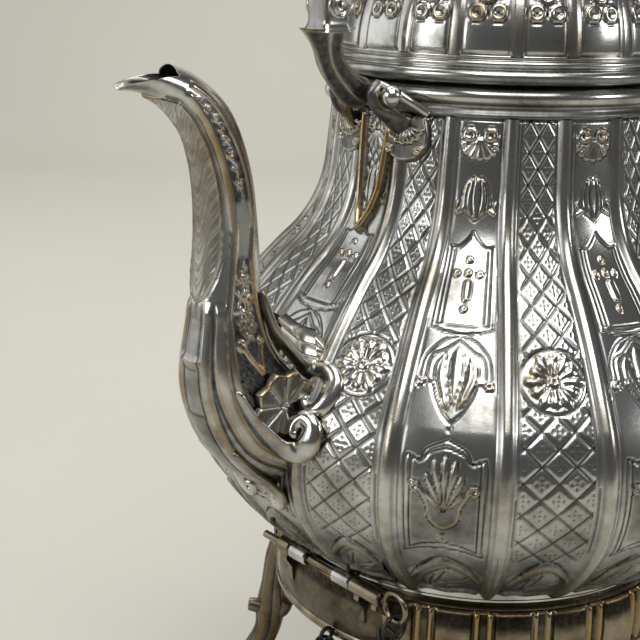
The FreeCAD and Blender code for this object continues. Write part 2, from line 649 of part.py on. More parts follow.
def chain(label, sign, out, drawn):
    """Wire rings that hang in a slack line from the pin's loop to the eye on the stand."""
    hang = s("hinge_z") - s("loop_r") + s("loop_wire") + s("link_wire") + 0.1 - s("link_r")
    start = FreeCAD.Vector(s("hinge_x").number, -(out + s("loop_r") + 1.0 + drawn).number, hang.number)
    eye_x, eye_z = s("flange_r") + s("eye_r"), s("ring_low_z") + s("flange_t") / 2
    hook = eye_z - s("eye_r") + s("link_wire") * 2 + 0.3 - s("link_r")
    stop = FreeCAD.Vector(eye_x.number, -4.0, hook.number)
    rings = []
    for index in range(LINKS):
        share = index / (LINKS - 1)
        spot = start + (stop - start) * share
        spot.z -= SAG[label] * 4.0 * share * (1.0 - share)
        link = ring(f"{label}_{index}", s("link_r"), s("link_wire"))
        flat = FreeCAD.Rotation(FreeCAD.Vector(1, 0, 0), 90) if index % 2 == 0 else ALONG_X
        link.Placement = FreeCAD.Placement(FreeCAD.Vector(spot.x * sign, spot.y, spot.z), flat)
        rings.append(link)
    item = doc.addObject("Part::Compound", label)
    item.Links = rings
    item.Label = label
    eye = ring(f"{label}_eye", s("eye_r"), s("link_wire"))
    place(eye, eye_x * sign, -4.0, eye_z, ALONG_Y)
    eye.Label = label.replace("chain", "chain_eye")
    return [item, eye]


SAG = {"front_chain": 9.0, "rear_chain": 6.0}


def stand_ring():
    """Gallery ring with an inward ledge for the pot's foot and upright ribs in pairs."""
    top, low, r = s("seat_z"), s("ring_low_z"), s("ring_r")
    inner = r - s("ring_wall")
    body = turned("stand_ring", [
        (s("ledge_r"), top), (r, top), (r, low + s("flange_t") + 1.6),
        (s("flange_r"), low + s("flange_t"), -2.2), (s("flange_r"), low), (inner, low),
        (inner, top - s("ledge_t") - 2.0), (inner - 2.0, top - s("ledge_t"), 2.0),
        (s("ledge_r"), top - s("ledge_t"))])
    proud, width, apart = s("gallery_proud"), s("gallery_rib"), s("gallery_gap") / 2
    for half in (1.0, -1.0):
        for lane in (1.0, -1.0):
            name = f"gallery_{int(half)}_{int(lane)}"
            sketch = outline(body, name, "XZ_Plane", [
                (r - 1.0, low + 3.6), (r + proud, low + 4.4), (r + proud, top - 2.0), (r - 1.0, top - 1.2)])
            pad = body.newObject("PartDesign::Pad", f"{name}_pad")
            pad.Profile = sketch
            pad.SideType = "Symmetric"
            bind(pad, Length=width)
            lift = FreeCAD.Rotation(FreeCAD.Vector(0, 1, 0), 30.0 if half > 0 else 210.0)
            spread = lift.multVec(FreeCAD.Vector(0, 0, 1)) * (apart.number * lane)
            sketch.AttachmentOffset = FreeCAD.Placement(spread, lift)
            repeat(body, [pad], 9, s("gallery_step"))
    return body


LEG_PATH = [
    (66.0, 87.5, -90, 5.6, 5.8), (69.0, 75.0, -70, 5.4, 5.9), (74.6, 60.0, -72, 5.8, 6.8),
    (77.6, 45.0, -87, 4.8, 5.2), (79.6, 30.0, -74, 4.2, 4.5), (87.0, 15.5, -48, 4.4, 4.7),
    (95.0, 6.0, -90, 5.0, 5.2),
]


def legs():
    """Four cast scroll legs, each with an outward bud at the knee, and their feet."""
    made = []
    for corner, index in CORNERS.items():
        turn = s("leg_first").number + s("leg_step").number * index
        stem = loft(f"leg_stem_{corner}", [tuple(sized(v) if i != 2 else v for i, v in enumerate(row))
                                           for row in LEG_PATH])
        bud = doc.addObject("Part::Cone", f"bud_{corner}")
        bind(bud, Radius1=s("bud_r"), Radius2=s("bud_r") * 0.55, Height=s("bud_reach") - s("arm_r"))
        place(bud, s("arm_r"), 0.0, s("bud_z"), ALONG_X)
        tip = doc.addObject("Part::Sphere", f"bud_tip_{corner}")
        bind(tip, Radius=s("bud_r") * 0.72)
        place(tip, s("bud_reach"), 0.0, s("bud_z"))
        leg = fuse(f"leg_{corner}", [stem, bud, tip])
        leg.Placement = FreeCAD.Placement(FreeCAD.Vector(), about_z(turn))
        foot = turned(f"foot_{corner}", [
            (0.0, 0.0), (s("foot_r") - 1.5, 0.0), (s("foot_r"), 1.8, 2.2),
            (s("foot_r") - 2.5, s("foot_t"), 5.5), (0.0, s("foot_t"))])
        angle = sized(turn)
        place(foot, s("foot_reach") * cosine(angle), s("foot_reach") * sine(angle))
        made += [leg, foot]
    return made


def burner_frame():
    """Ring for the burner on four arms that run out to the legs."""
    low, thick = s("holder_z"), s("holder_t")
    hoop = turned("holder_ring", [
        (s("holder_bore"), low), (s("holder_r"), low), (s("holder_r"), low + thick),
        (s("holder_bore"), low + thick)])
    pieces = [hoop]
    for index in range(4):
        turn = s("leg_first").number + s("leg_step").number * index
        rod = cylinder(f"holder_arm_{index}", s("holder_arm_r"),
                       s("holder_arm_reach") - s("holder_r") + 1.0)
        angle = sized(turn)
        reach = s("holder_r") - 1.0
        place(rod, reach * cosine(angle), reach * sine(angle), low + thick / 2,
              about_z(turn) * ALONG_X)
        pieces.append(rod)
    return fuse("burner_frame", pieces)


def burner():
    """Spirit burner: bowl on the ring, cover, wick tube, wick and hinged snuffer cap."""
    top = s("holder_z") + s("holder_t")
    r, tin, lip = s("bowl_r"), s("tin"), s("bowl_lip_r")
    low = top - s("bowl_deep")
    bowl = turned("burner_bowl", [
        (0.0, low), (r - 6.0, low), (r, low + 6.0, 6.0), (r, top), (lip, top), (lip, top + tin),
        (r - tin, top + tin), (r - tin, low + 6.0), (r - 6.0, low + tin, -5.0), (0.0, low + tin)])
    seat = top + tin
    peak = seat + s("cover_rise")
    hole = s("wick_tube_r") + s("run_gap")
    cover = turned("burner_cover", [
        (hole, peak), (hole, peak - tin), (s("cover_flat_r"), peak - tin), (r - tin * 2, seat),
        (lip, seat), (lip, seat + tin), (r - tin, seat + tin), (s("cover_flat_r"), peak)])
    tube = turned("wick_tube", [
        (s("wick_tube_r") - tin, seat - 8.0), (s("wick_tube_r"), seat - 8.0),
        (s("wick_tube_r"), s("wick_tube_top")), (s("wick_tube_r") - tin, s("wick_tube_top"))])
    wick = cylinder("wick", s("wick_r"), s("wick_top") - low - 4.0)
    place(wick, z=low + 4.0)
    return [bowl, cover, tube, wick] + snuffer(peak)


def snuffer(peak):
    """Cap over the wick, on a pin between two ears on the burner's cover."""
    hx, hz, half = s("cap_hinge_x"), s("cap_hinge_z"), s("cap_lug_half")
    cap = turned("cap_shell", [
        (s("cap_r") - s("tin"), s("cap_low")), (s("cap_r"), s("cap_low")),
        (s("cap_r"), s("cap_top") - 3.0), (s("cap_r") - 3.0, s("cap_top"), 3.0), (0.0, s("cap_top")),
        (0.0, s("cap_top") - s("tin")), (s("cap_r") - 3.0, s("cap_top") - s("tin")),
        (s("cap_r") - s("tin"), s("cap_top") - 3.0, -2.0)])
    tab = plate("cap_tab", "XZ_Plane", [
        (s("cap_r") - 0.6, s("cap_low") + 0.5), (hx, hz - 2.2), (hx + 2.2, hz, 2.2), (hx, hz + 2.2, 2.2),
        (s("cap_r") - 0.6, s("cap_low") + 4.0)], half * 2)
    lump = fuse("cap_lump", [cap, doc.getObject("cap_tab")])
    drill = cylinder("cap_drill", s("cap_pin_r") + s("run_gap"), half * 4)
    place(drill, hx, -half * 2, hz, ALONG_Y)
    made = [cut("snuffer_cap", lump, drill)]
    ears = []
    for sign in (-1.0, 1.0):
        ear = box(f"cap_ear_{int(sign)}", 4.4, half * 0.7, hz + 2.2 - (peak - 3.0))
        start = half + 0.3 if sign > 0 else -(half + 0.3) - half * 0.7
        ears.append(place(ear, hx - 2.2, start, peak - 3.0))
    bracket = fuse("ears", ears)
    under = doc.addObject("Part::Cone", "cover_form")
    bind(under, Radius1=s("bowl_r") - s("tin"), Radius2=s("cover_flat_r"),
         Height=s("cover_rise") - s("tin"))
    place(under, z=peak - s("cover_rise") + s("tin"))
    bracket = cut("ears_off_cover", bracket, under)
    drill = cylinder("ear_drill", s("cap_pin_r"), half * 4)
    place(drill, hx, -half * 2, hz, ALONG_Y)
    made.append(cut("snuffer_ears", bracket, drill))
    pin = cylinder("snuffer_pin", s("cap_pin_r"), half * 3.6)
    made.append(place(pin, hx, -half * 1.8, hz, ALONG_Y))
    return made


def build():
    """Every piece of the object, in the order it is put together."""
    body, core = pot_body(), pot_core()
    pieces = [body] + pot_base() + [collar()] + lid() + finial() + spout(body, core)
    for name, turn in SIDES.items():
        pieces += handle_side(name, turn, body, core)
    pieces += grip()
    gap = s("knuckle_gap")
    for side, sign, inside, out in (("front", -1, s("knuckle_in"), s("knuckle_out")),
                                    ("rear", 1, s("lock_in"), s("lock_out"))):
        label = "kettle_knuckle_front" if side == "front" else "kettle_lug_rear"
        pieces.append(knuckle(label, -inside, inside, sign, False))
        pieces.append(knuckle(f"stand_knuckle_{side}_a", inside + gap, out, sign, True))
        pieces.append(knuckle(f"stand_knuckle_{side}_b", -out, -(inside + gap), sign, True))
    pieces += [stand_ring(), burner_frame()] + legs() + burner()
    for side, sign, out, drawn in (("front", -1.0, s("knuckle_out"), sized(0.0)),
                                   ("rear", 1.0, s("lock_out"), s("lock_draw"))):
        pieces.append(loop_pin(f"{side}_pin", sign, out, drawn))
        pieces += chain(f"{side}_chain", sign, out, drawn)
    return pieces


def write(pieces):
    """Check the whole document, then write one file for each piece."""
    doc.recompute()
    failed = [item.Name for item in doc.Objects if {"Invalid", "Error"} & set(item.State)]
    if failed:
        raise RuntimeError(f"failed objects: {failed}")
    for item in pieces:
        if item.Shape.isNull() or not item.Shape.isValid() or item.Shape.Volume <= 0:
            raise RuntimeError(f"{item.Label} has no valid solid")
    os.makedirs("parts", exist_ok=True)
    for item in pieces:
        item.Shape.exportStep(f"parts/{item.Label}.step")
        print(f"{item.Label}: {len(item.Shape.Solids)} solid, {item.Shape.Volume:.0f} mm3")


write(build())
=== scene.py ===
"""Silver-plated tilting pot on a stand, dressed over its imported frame."""

import json
import math

import bmesh
import bpy
import numpy as np
from mathutils import Matrix, Vector


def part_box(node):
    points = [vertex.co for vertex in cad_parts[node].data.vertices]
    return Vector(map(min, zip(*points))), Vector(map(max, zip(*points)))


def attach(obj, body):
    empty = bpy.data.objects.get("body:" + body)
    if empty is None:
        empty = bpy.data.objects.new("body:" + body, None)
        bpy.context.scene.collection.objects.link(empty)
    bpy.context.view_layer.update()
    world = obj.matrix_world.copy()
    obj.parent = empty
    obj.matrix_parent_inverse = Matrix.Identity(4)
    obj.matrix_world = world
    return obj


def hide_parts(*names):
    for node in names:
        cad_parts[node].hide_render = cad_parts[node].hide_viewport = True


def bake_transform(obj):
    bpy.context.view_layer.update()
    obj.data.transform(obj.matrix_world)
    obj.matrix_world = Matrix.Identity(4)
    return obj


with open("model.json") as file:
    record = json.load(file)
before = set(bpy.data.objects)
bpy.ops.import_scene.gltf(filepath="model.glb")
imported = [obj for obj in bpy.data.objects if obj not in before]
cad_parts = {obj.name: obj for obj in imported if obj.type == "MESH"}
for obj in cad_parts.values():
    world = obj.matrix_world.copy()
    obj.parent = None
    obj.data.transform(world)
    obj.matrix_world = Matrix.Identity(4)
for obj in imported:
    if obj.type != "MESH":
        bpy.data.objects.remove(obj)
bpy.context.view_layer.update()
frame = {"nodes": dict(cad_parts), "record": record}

bl_info = {
    "name": "Tilting Pot Dresser",
    "version": (1, 0, 0),
    "blender": (4, 5, 0),
    "location": "View3D > Sidebar > Pot",
    "description": "Chased panels, cast spout, handle and stand of a plated tilting pot",
    "category": "Object",
}

MM = 0.001
PANELS = 10
STRAP_HALF = math.radians(9.5)
LATTICE_HALF = math.radians(8.5)
PANEL_STEP = math.radians(36.0)

# Slot of each CAD node in the record, and the name of the finish in each slot.
SLOTS = {part["node"]: part["material_slot"] for part in frame["record"]["subparts"]}
FINISHES = {"silver_plate": "tarnished silver plate", "worn_plate": "plate worn to bronze",
            "brass": "dull brass", "steel_wire": "darkened iron wire", "bone": "aged bone",
            "cotton": "cotton wick"}

# Heights along the panels, in mm from the pot's foot: the rosette's middle and the lattice's lower edge.
ROSETTE_UP = 84.0
LATTICE_UP = 31.0

# Sides of the pot and the lid, upwards: radius, height and the bend that leads there, in mm.
PEAR = [(66.5, 113.5, 0.0), (90.5, 138.7, 72.0), (90.0, 172.0, 37.2), (65.5, 203.5, 176.0),
        (51.9, 230.5, -42.0), (50.0, 248.5, 0.0)]
DOME = [(51.0, 265.5, 0.0), (40.0, 292.5, 40.0), (8.0, 302.0, 68.0)]

# Spout path from the belly to the lip: out, height, heading, half width, half depth.
SPOUT = [(78.0, 158.0, 14, 15.0, 19.0), (95.0, 166.0, 42, 14.6, 17.0),
         (104.0, 181.0, 74, 12.6, 14.4), (105.8, 198.0, 89, 9.8, 10.2),
         (105.5, 216.0, 90, 8.4, 8.7), (106.8, 234.0, 80, 7.6, 7.9),
         (111.6, 248.3, 58, 6.8, 7.05), (120.0, 256.7, 29, 5.8, 5.8),
         (129.8, 260.8, 8, 4.6, 4.05), (137.4, 260.8, -4, 3.4, 2.7)]
SPOUT_RUN = 138.0

# Handle arm from its pin to its lips, and the bow above it, in the same terms.
ARM = [(58.2, 253.6, 12, 4.0, 4.2), (62.6, 255.0, 30, 4.2, 4.4), (67.2, 258.8, 50, 4.1, 4.2),
       (70.2, 262.6, 70, 3.9, 4.0), (71.4, 266.2, 86, 3.9, 4.0), (71.5, 269.0, 90, 4.4, 4.5),
       (71.5, 271.6, 90, 5.2, 5.3)]
BOW = [(71.5, 270.4, 90, 5.6, 5.6), (71.5, 271.8, 90, 5.0, 5.0), (71.5, 273.6, 90, 4.4, 4.4),
       (71.5, 278.0, 90, 4.5, 4.5), (71.5, 283.0, 90, 4.5, 4.5), (71.5, 285.0, 90, 4.1, 4.1),
       (71.5, 292.0, 90, 4.2, 4.5), (71.5, 299.1, 90, 4.2, 4.5)]
BOW_BEND = 46.98
BOW += [(24.52 + BOW_BEND * math.cos(math.radians(turn)), 299.1 + BOW_BEND * math.sin(math.radians(turn)),
         90 + turn, 4.2, 4.5) for turn in range(13, 66, 13)]

# Axis of the hinge barrels on both sides of the pot, their radius and bore, and the outside of the
# stand's ring, in mm.
HINGE_OUT, HINGE_UP, BARREL, BORE, RING_OUT = 69.0, 110.0, 2.6, 1.4, 66.4

# Chain links: radius of the ring on the pin and of the others, their wire and their spacing, in mm.
LOOP_LINK, LINK, WIRE, LINK_PITCH = 4.3, 3.1, 0.65, 4.9


def colour(code):
    """Linear colour of an sRGB hex code."""
    parts = [int(code[i:i + 2], 16) / 255.0 for i in (1, 3, 5)]
    return tuple(c / 12.92 if c <= 0.04045 else ((c + 0.055) / 1.055) ** 2.4 for c in parts)


def ease(value):
    """Smooth step from 0 to 1."""
    value = np.clip(value, 0.0, 1.0)
    return value * value * (3.0 - 2.0 * value)


def dome(value):
    """Height of a half circle at a share of its half width."""
    return np.sqrt(np.clip(1.0 - value ** 2, 0.0, 1.0))


def close(gap, width):
    """1 where a gap is nothing, falling smoothly to 0 at a width."""
    return ease(1.0 - np.abs(gap) / width)


def along_rows(rows, share):
    """Smooth curve through rows of numbers; share runs from 0 to 1 along it."""
    rows = np.asarray(rows, float)
    last = len(rows) - 1
    place = np.clip(np.asarray(share, float) * last, 0.0, last - 1e-9)
    index = place.astype(int)
    part = (place - index)[..., None]
    a, b, c, d = (rows[np.clip(index + step, 0, last)] for step in (-1, 0, 1, 2))
    return 0.5 * (2 * b + (c - a) * part + (2 * a - 5 * b + 4 * c - d) * part ** 2
                  + (3 * b - a - 3 * c + d) * part ** 3)


def smooth_line(points, steps=8):
    """A stroke through a few points."""
    return along_rows(points, np.linspace(0.0, 1.0, (len(points) - 1) * steps + 1))


def spiral(radius, turns, fade, count):
    """Points across and up a spiral that closes in; turns and fade are in half turns."""
    turn = np.linspace(0.0, turns * math.pi, count)
    reach = radius * (1.0 - turn / (fade * math.pi))
    return reach * np.cos(turn), reach * np.sin(turn)


def bent_profile(corners, step=0.5):
    """Radius, height and length along a side made of straight runs and arcs."""
    points = [np.array(corners[0][:2])]
    for (r0, z0, _), (r1, z1, bend) in zip(corners, corners[1:]):
        start, end = np.array((r0, z0)), np.array((r1, z1))
        half = (end - start) / 2
        count = max(4, int(np.hypot(*half) * 2 / step))
        share = np.linspace(0, 1, count + 1)[1:, None]
        if not bend:
            points.extend(start + (end - start) * share)
            continue
        reach = math.sqrt(max(bend * bend - half @ half, 0.0))
        left = np.array((-half[1], half[0])) / np.hypot(*half)
        centre = start + half + left * math.copysign(reach, bend)
        turn = [math.atan2(*(p - centre)[::-1]) for p in (start, end)]
        sweep = (turn[1] - turn[0] + math.pi) % (2 * math.pi) - math.pi
        angle = turn[0] + sweep * share[:, 0]
        points.extend(centre + abs(bend) * np.stack([np.cos(angle), np.sin(angle)], 1))
    points = np.array(points)
    run = np.r_[0.0, np.cumsum(np.hypot(*np.diff(points, axis=0).T))]
    return points[:, 0], points[:, 1], run


class Side:
    """A turned side, read by the length v along it from its lower edge."""

    def __init__(self, corners):
        self.r, self.z, self.run = bent_profile(corners)
        slope = np.stack([np.gradient(self.z, self.run), -np.gradient(self.r, self.run)])
        self.out = slope / np.hypot(*slope)
        self.length = self.run[-1]

    def at(self, v):
        return np.interp(v, self.run, self.r), np.interp(v, self.run, self.z)

    def normal(self, v):
        return np.interp(v, self.run, self.out[0]), np.interp(v, self.run, self.out[1])


POT_SIDE, LID_SIDE = Side(PEAR), Side(DOME)


class Chasing:
    """Relief on a panel in mm: its height, how black each spot is, from the black in its recesses and in
    places from painted shade, and how worn it is.
    """

    def __init__(self, across, up):
        self.x, self.y = across, up
        self.height = np.zeros_like(across)
        self.black = np.zeros_like(across)
        self.worn = np.zeros_like(across)

    def darken(self, amount):
        self.black = np.maximum(self.black, amount)

    def wear(self, amount):
        self.worn = np.maximum(self.worn, amount)

    def near(self, line, limit):
        """Spots near a stroke and their distances from it."""
        line = np.asarray(line, float)
        low, high = line.min(0) - limit, line.max(0) + limit
        spots = np.flatnonzero((self.x > low[0]) & (self.x < high[0])
                               & (self.y > low[1]) & (self.y < high[1]))
        x, y = self.x[spots], self.y[spots]
        best = np.full(len(spots), 1e9)
        for (ax, ay), (bx, by) in zip(line, line[1:]):
            dx, dy = bx - ax, by - ay
            size = dx * dx + dy * dy or 1e-9
            part = np.clip(((x - ax) * dx + (y - ay) * dy) / size, 0.0, 1.0)
            best = np.minimum(best, np.hypot(x - ax - part * dx, y - ay - part * dy))
        return spots, best

    def groove(self, line, width=0.55, depth=0.34):
        spots, far = self.near(line, width)
        amount = ease(1.0 - far / width)
        self.height[spots] -= depth * amount
        self.black[spots] = np.maximum(self.black[spots], ease(1.25 - far / width * 1.5))

    def ridge(self, line, width=0.8, rise=0.4):
        spots, far = self.near(line, width)
        amount = dome(far / width)
        self.height[spots] = np.maximum(self.height[spots], rise * amount)
        self.black[spots] *= 1.0 - ease(amount * 1.4)
        self.worn[spots] = np.maximum(self.worn[spots], 0.5 * ease(amount * 1.6 - 0.6))

    def pad(self, line, rise=0.35, soft=1.0, edge=0.5):
        """Raise the inside of a closed stroke like a cushion, with a dark line round it."""
        line = np.asarray(line, float)
        spots, far = self.near(np.vstack([line, line[:1]]), soft + 6.0)
        x, y = self.x[spots], self.y[spots]
        inside = np.zeros(len(spots), bool)
        for (ax, ay), (bx, by) in zip(line, np.roll(line, -1, 0)):
            if ay != by:
                inside ^= ((ay > y) != (by > y)) & (x < (bx - ax) * (y - ay) / (by - ay) + ax)
        amount = np.where(inside, np.sqrt(ease(far / soft)), 0.0)
        self.height[spots] += rise * amount
        rim = np.where(inside, 0.0, ease(1.0 - far / edge))
        self.black[spots] = np.maximum(self.black[spots] * (1.0 - 0.8 * amount), rim)
        self.height[spots] -= 0.22 * rim
        self.worn[spots] = np.maximum(self.worn[spots], 0.35 * np.where(inside, ease(1 - far / soft), 0))

    def scallop(self, hinge, reach, lobes, rise):
        """A half-round shell of fluted lobes that hangs from its hinge."""
        x, y = self.x - hinge[0], hinge[1] - self.y
        far, way = np.hypot(x, y), np.arctan2(x, y)
        lobe = np.abs(np.sin((way / 3.5 + 0.5) * lobes * math.pi))
        edge = reach * (0.88 + 0.12 * np.sqrt(lobe)) * (np.abs(way) < 1.75)
        body = ease((edge - far) / 0.5)
        flute = ease(far / reach * 2.2 - 0.3)
        self.height = np.maximum(self.height, rise * body * (1.0 - flute * (0.85 - 0.85 * np.sqrt(lobe))))
        line = close(far - edge - 0.2, 0.5) * (edge > 0)
        self.darken(np.maximum(line, 0.85 * body * flute * ease(0.8 - lobe * 2.0)))
        self.wear(0.4 * body * ease((far - edge) / 0.9 + 1.0))

    def punch(self, centre, radius=0.55, depth=0.36):
        self.groove([centre, centre], radius, depth)

    def ringed_dot(self, centre, radius=1.3):
        turn = np.linspace(0, 2 * np.pi, 17)
        circle = np.stack([centre[0] + radius * np.cos(turn), centre[1] + radius * np.sin(turn)], 1)
        self.groove(circle, 0.45, 0.32)
        self.ridge(np.array(centre) + (circle - centre) * 0.66, max(0.5, radius * 0.3), 0.45)
        self.punch(centre, max(0.5, radius * 0.42))


def new_mesh(name, builder):
    """A bmesh built by a function, as a new object linked to the scene."""
    bm = bmesh.new()
    builder(bm)
    mesh = bpy.data.meshes.new(name)
    bm.to_mesh(mesh)
    bm.free()
    obj = bpy.data.objects.new(name, mesh)
    bpy.context.scene.collection.objects.link(obj)
    return obj


def side_of(node, axis):
    """1 or -1: the side of the pot's axis on which a CAD node lies."""
    low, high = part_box(node)
    return 1.0 if low[axis] + high[axis] > 0 else -1.0


def dress(obj, body, slot, nodes=()):
    """Give a finished piece its finish and its body, and hide the CAD nodes it stands for."""
    obj.data.materials.append(bpy.data.materials[FINISHES[slot]])
    obj.data.shade_smooth()
    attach(obj, body)
    if nodes:
        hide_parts(*nodes)


def plate(name, columns, rows, placer, nodes=(), slot="silver_plate", body="kettle", weld=True):
    """A dressed grid whose spots a function of two shares places, in mm.
    The placer gives the points, then how black and how worn each one is."""
    def build(bm):
        bmesh.ops.create_grid(bm, x_segments=columns, y_segments=rows, size=0.5)
        flat = np.array([v.co[:2] for v in bm.verts]) + 0.5
        points, black, worn = placer(flat[:, 0], flat[:, 1])
        marks = [bm.verts.layers.float.new(mark) for mark in ("blackened", "worn")]
        for vert, point, dark, bare in zip(bm.verts, points * MM, black, worn):
            vert.co = point
            vert[marks[0]] = dark
            vert[marks[1]] = bare
        if weld:
            bmesh.ops.remove_doubles(bm, verts=bm.verts, dist=0.002 * MM)
            bmesh.ops.recalc_face_normals(bm, faces=bm.faces)
    dress(new_mesh(name, build), body, slot, nodes)


def moved(placer, matrix):
    """The placer of a sheet, turned or mirrored by a matrix."""
    def placed(u, v):
        points, black, worn = placer(u, v)
        return points @ matrix.T, black, worn
    return placed


def turned(name, profile, steps, mark):
    """A moulding spun about Z from a line of radius and height in mm; mark blackens it by height."""
    def build(bm):
        verts = [bm.verts.new((r * MM, 0.0, z * MM)) for r, z in profile]
        edges = [bm.edges.new(pair) for pair in zip(verts, verts[1:])]
        bmesh.ops.spin(bm, geom=verts + edges, axis=(0, 0, 1), cent=(0, 0, 0), dvec=(0, 0, 0),
                       angle=2 * math.pi, steps=steps, use_merge=True)
        bmesh.ops.remove_doubles(bm, verts=bm.verts, dist=0.01 * MM)
        bmesh.ops.recalc_face_normals(bm, faces=bm.faces)
        layer = bm.verts.layers.float.new("blackened")
        for vert in bm.verts:
            vert[layer] = mark(vert.co.z / MM)
    return new_mesh(name, build)


def add(tree, kind, sockets=None, **settings):
    """Add one shader node; sockets maps an input to a value or to another node's output."""
    node = tree.nodes.new(kind)
    for key, value in settings.items():
        setattr(node, key, value)
    for name, value in (sockets or {}).items():
        if isinstance(value, bpy.types.NodeSocket):
            tree.links.new(value, node.inputs[name])
        else:
            node.inputs[name].default_value = value
    return node


def new_finish(name):
    """An empty node material, its tree and its main shader."""
    material = bpy.data.materials.get(name) or bpy.data.materials.new(name)
    material.use_nodes = True
    tree = material.node_tree
    tree.nodes.clear()
    output = add(tree, "ShaderNodeOutputMaterial")
    shader = add(tree, "ShaderNodeBsdfPrincipled")
    tree.links.new(shader.outputs["BSDF"], output.inputs["Surface"])
    return material, tree, shader


def plated(name, clean, dull, black, bare, gloss, cloud=60.0):
    """Old plated metal: bright where it is rubbed, clouded with tarnish, black in its
    recesses and where shade is painted in, and warm where the plate has worn off the edges."""
    material, tree, shader = new_finish(name)
    where = add(tree, "ShaderNodeTexCoord").outputs["Object"]
    tarnish = add(tree, "ShaderNodeTexNoise",
                  {"Vector": where, "Scale": cloud, "Detail": 6.0, "Roughness": 0.62})
    specks = add(tree, "ShaderNodeTexNoise", {"Vector": where, "Scale": 620.0, "Detail": 3.0})
    clouds = add(tree, "ShaderNodeMapRange", {
        "Value": tarnish.outputs["Fac"], "From Min": 0.41, "From Max": 0.72})
    dark = add(tree, "ShaderNodeAttribute", attribute_name="blackened")
    rubbed = add(tree, "ShaderNodeAttribute", attribute_name="worn")
    # The attribute holds the black of the recesses and, on the lower belly, the rib flanks and the gallery
    # band, painted shade.
    grime_and_shade = add(tree, "ShaderNodeMath", {
        0: dark.outputs["Fac"], 1: add(tree, "ShaderNodeMapRange", {
            "Value": specks.outputs["Fac"], "From Min": 0.2, "From Max": 0.7, "To Min": 0.8,
            "To Max": 1.1}).outputs["Result"]}, operation="MULTIPLY", use_clamp=True)
    patchy = add(tree, "ShaderNodeMath", {
        0: rubbed.outputs["Fac"], 1: add(tree, "ShaderNodeMapRange", {
            "Value": tarnish.outputs["Fac"], "From Min": 0.35, "From Max": 0.6, "To Min": 0.35,
            "To Max": 1.2}).outputs["Result"]}, operation="MULTIPLY", use_clamp=True)
    skin = add(tree, "ShaderNodeMix", {
        "Factor": clouds.outputs["Result"], "A": clean, "B": dull}, data_type="RGBA")
    edged = add(tree, "ShaderNodeMix", {
        "Factor": patchy.outputs["Value"], "A": skin.outputs["Result"], "B": bare}, data_type="RGBA")
    tone = add(tree, "ShaderNodeMix", {
        "Factor": grime_and_shade.outputs["Value"], "A": edged.outputs["Result"], "B": black}, data_type="RGBA")
    rough = add(tree, "ShaderNodeMath", {
        0: clouds.outputs["Result"], 1: 0.16, 2: gloss}, operation="MULTIPLY_ADD")
    rougher = add(tree, "ShaderNodeMath", {
        0: grime_and_shade.outputs["Value"], 1: 0.24, 2: rough.outputs["Value"]}, operation="MULTIPLY_ADD")
    grain = add(tree, "ShaderNodeMapping", {"Vector": where, "Scale": (1.0, 1.0, 5.0)})
    scratches = add(tree, "ShaderNodeTexNoise", {
        "Vector": grain.outputs["Vector"], "Scale": 380.0, "Detail": 4.0, "Roughness": 0.7})
    bump = add(tree, "ShaderNodeBump", {
        "Height": scratches.outputs["Fac"], "Strength": 0.12, "Distance": 0.00012})
    tree.links.new(tone.outputs["Result"], shader.inputs["Base Color"])
    tree.links.new(rougher.outputs["Value"], shader.inputs["Roughness"])
    tree.links.new(bump.outputs["Normal"], shader.inputs["Normal"])
    shader.inputs["Metallic"].default_value = 1.0
    return material


def soft_solid(name, pale, stained, rough, grain, stretch):
    """A dull non-metal, streaked along its length: turned bone or twisted cotton."""
    material, tree, shader = new_finish(name)
    where = add(tree, "ShaderNodeTexCoord").outputs["Object"]
    run = add(tree, "ShaderNodeMapping", {"Vector": where, "Scale": stretch})
    streak = add(tree, "ShaderNodeTexNoise", {
        "Vector": run.outputs["Vector"], "Scale": grain, "Detail": 5.0, "Roughness": 0.6})
    spread = add(tree, "ShaderNodeMapRange", {
        "Value": streak.outputs["Fac"], "From Min": 0.35, "From Max": 0.7})
    tone = add(tree, "ShaderNodeMix", {
        "Factor": spread.outputs["Result"], "A": pale, "B": stained}, data_type="RGBA")
    dull = add(tree, "ShaderNodeMath", {
        0: spread.outputs["Result"], 1: 0.18, 2: rough}, operation="MULTIPLY_ADD")
    bump = add(tree, "ShaderNodeBump", {
        "Height": streak.outputs["Fac"], "Strength": 0.35, "Distance": 0.0002})
    tree.links.new(tone.outputs["Result"], shader.inputs["Base Color"])
    tree.links.new(dull.outputs["Value"], shader.inputs["Roughness"])
    tree.links.new(bump.outputs["Normal"], shader.inputs["Normal"])
    return material


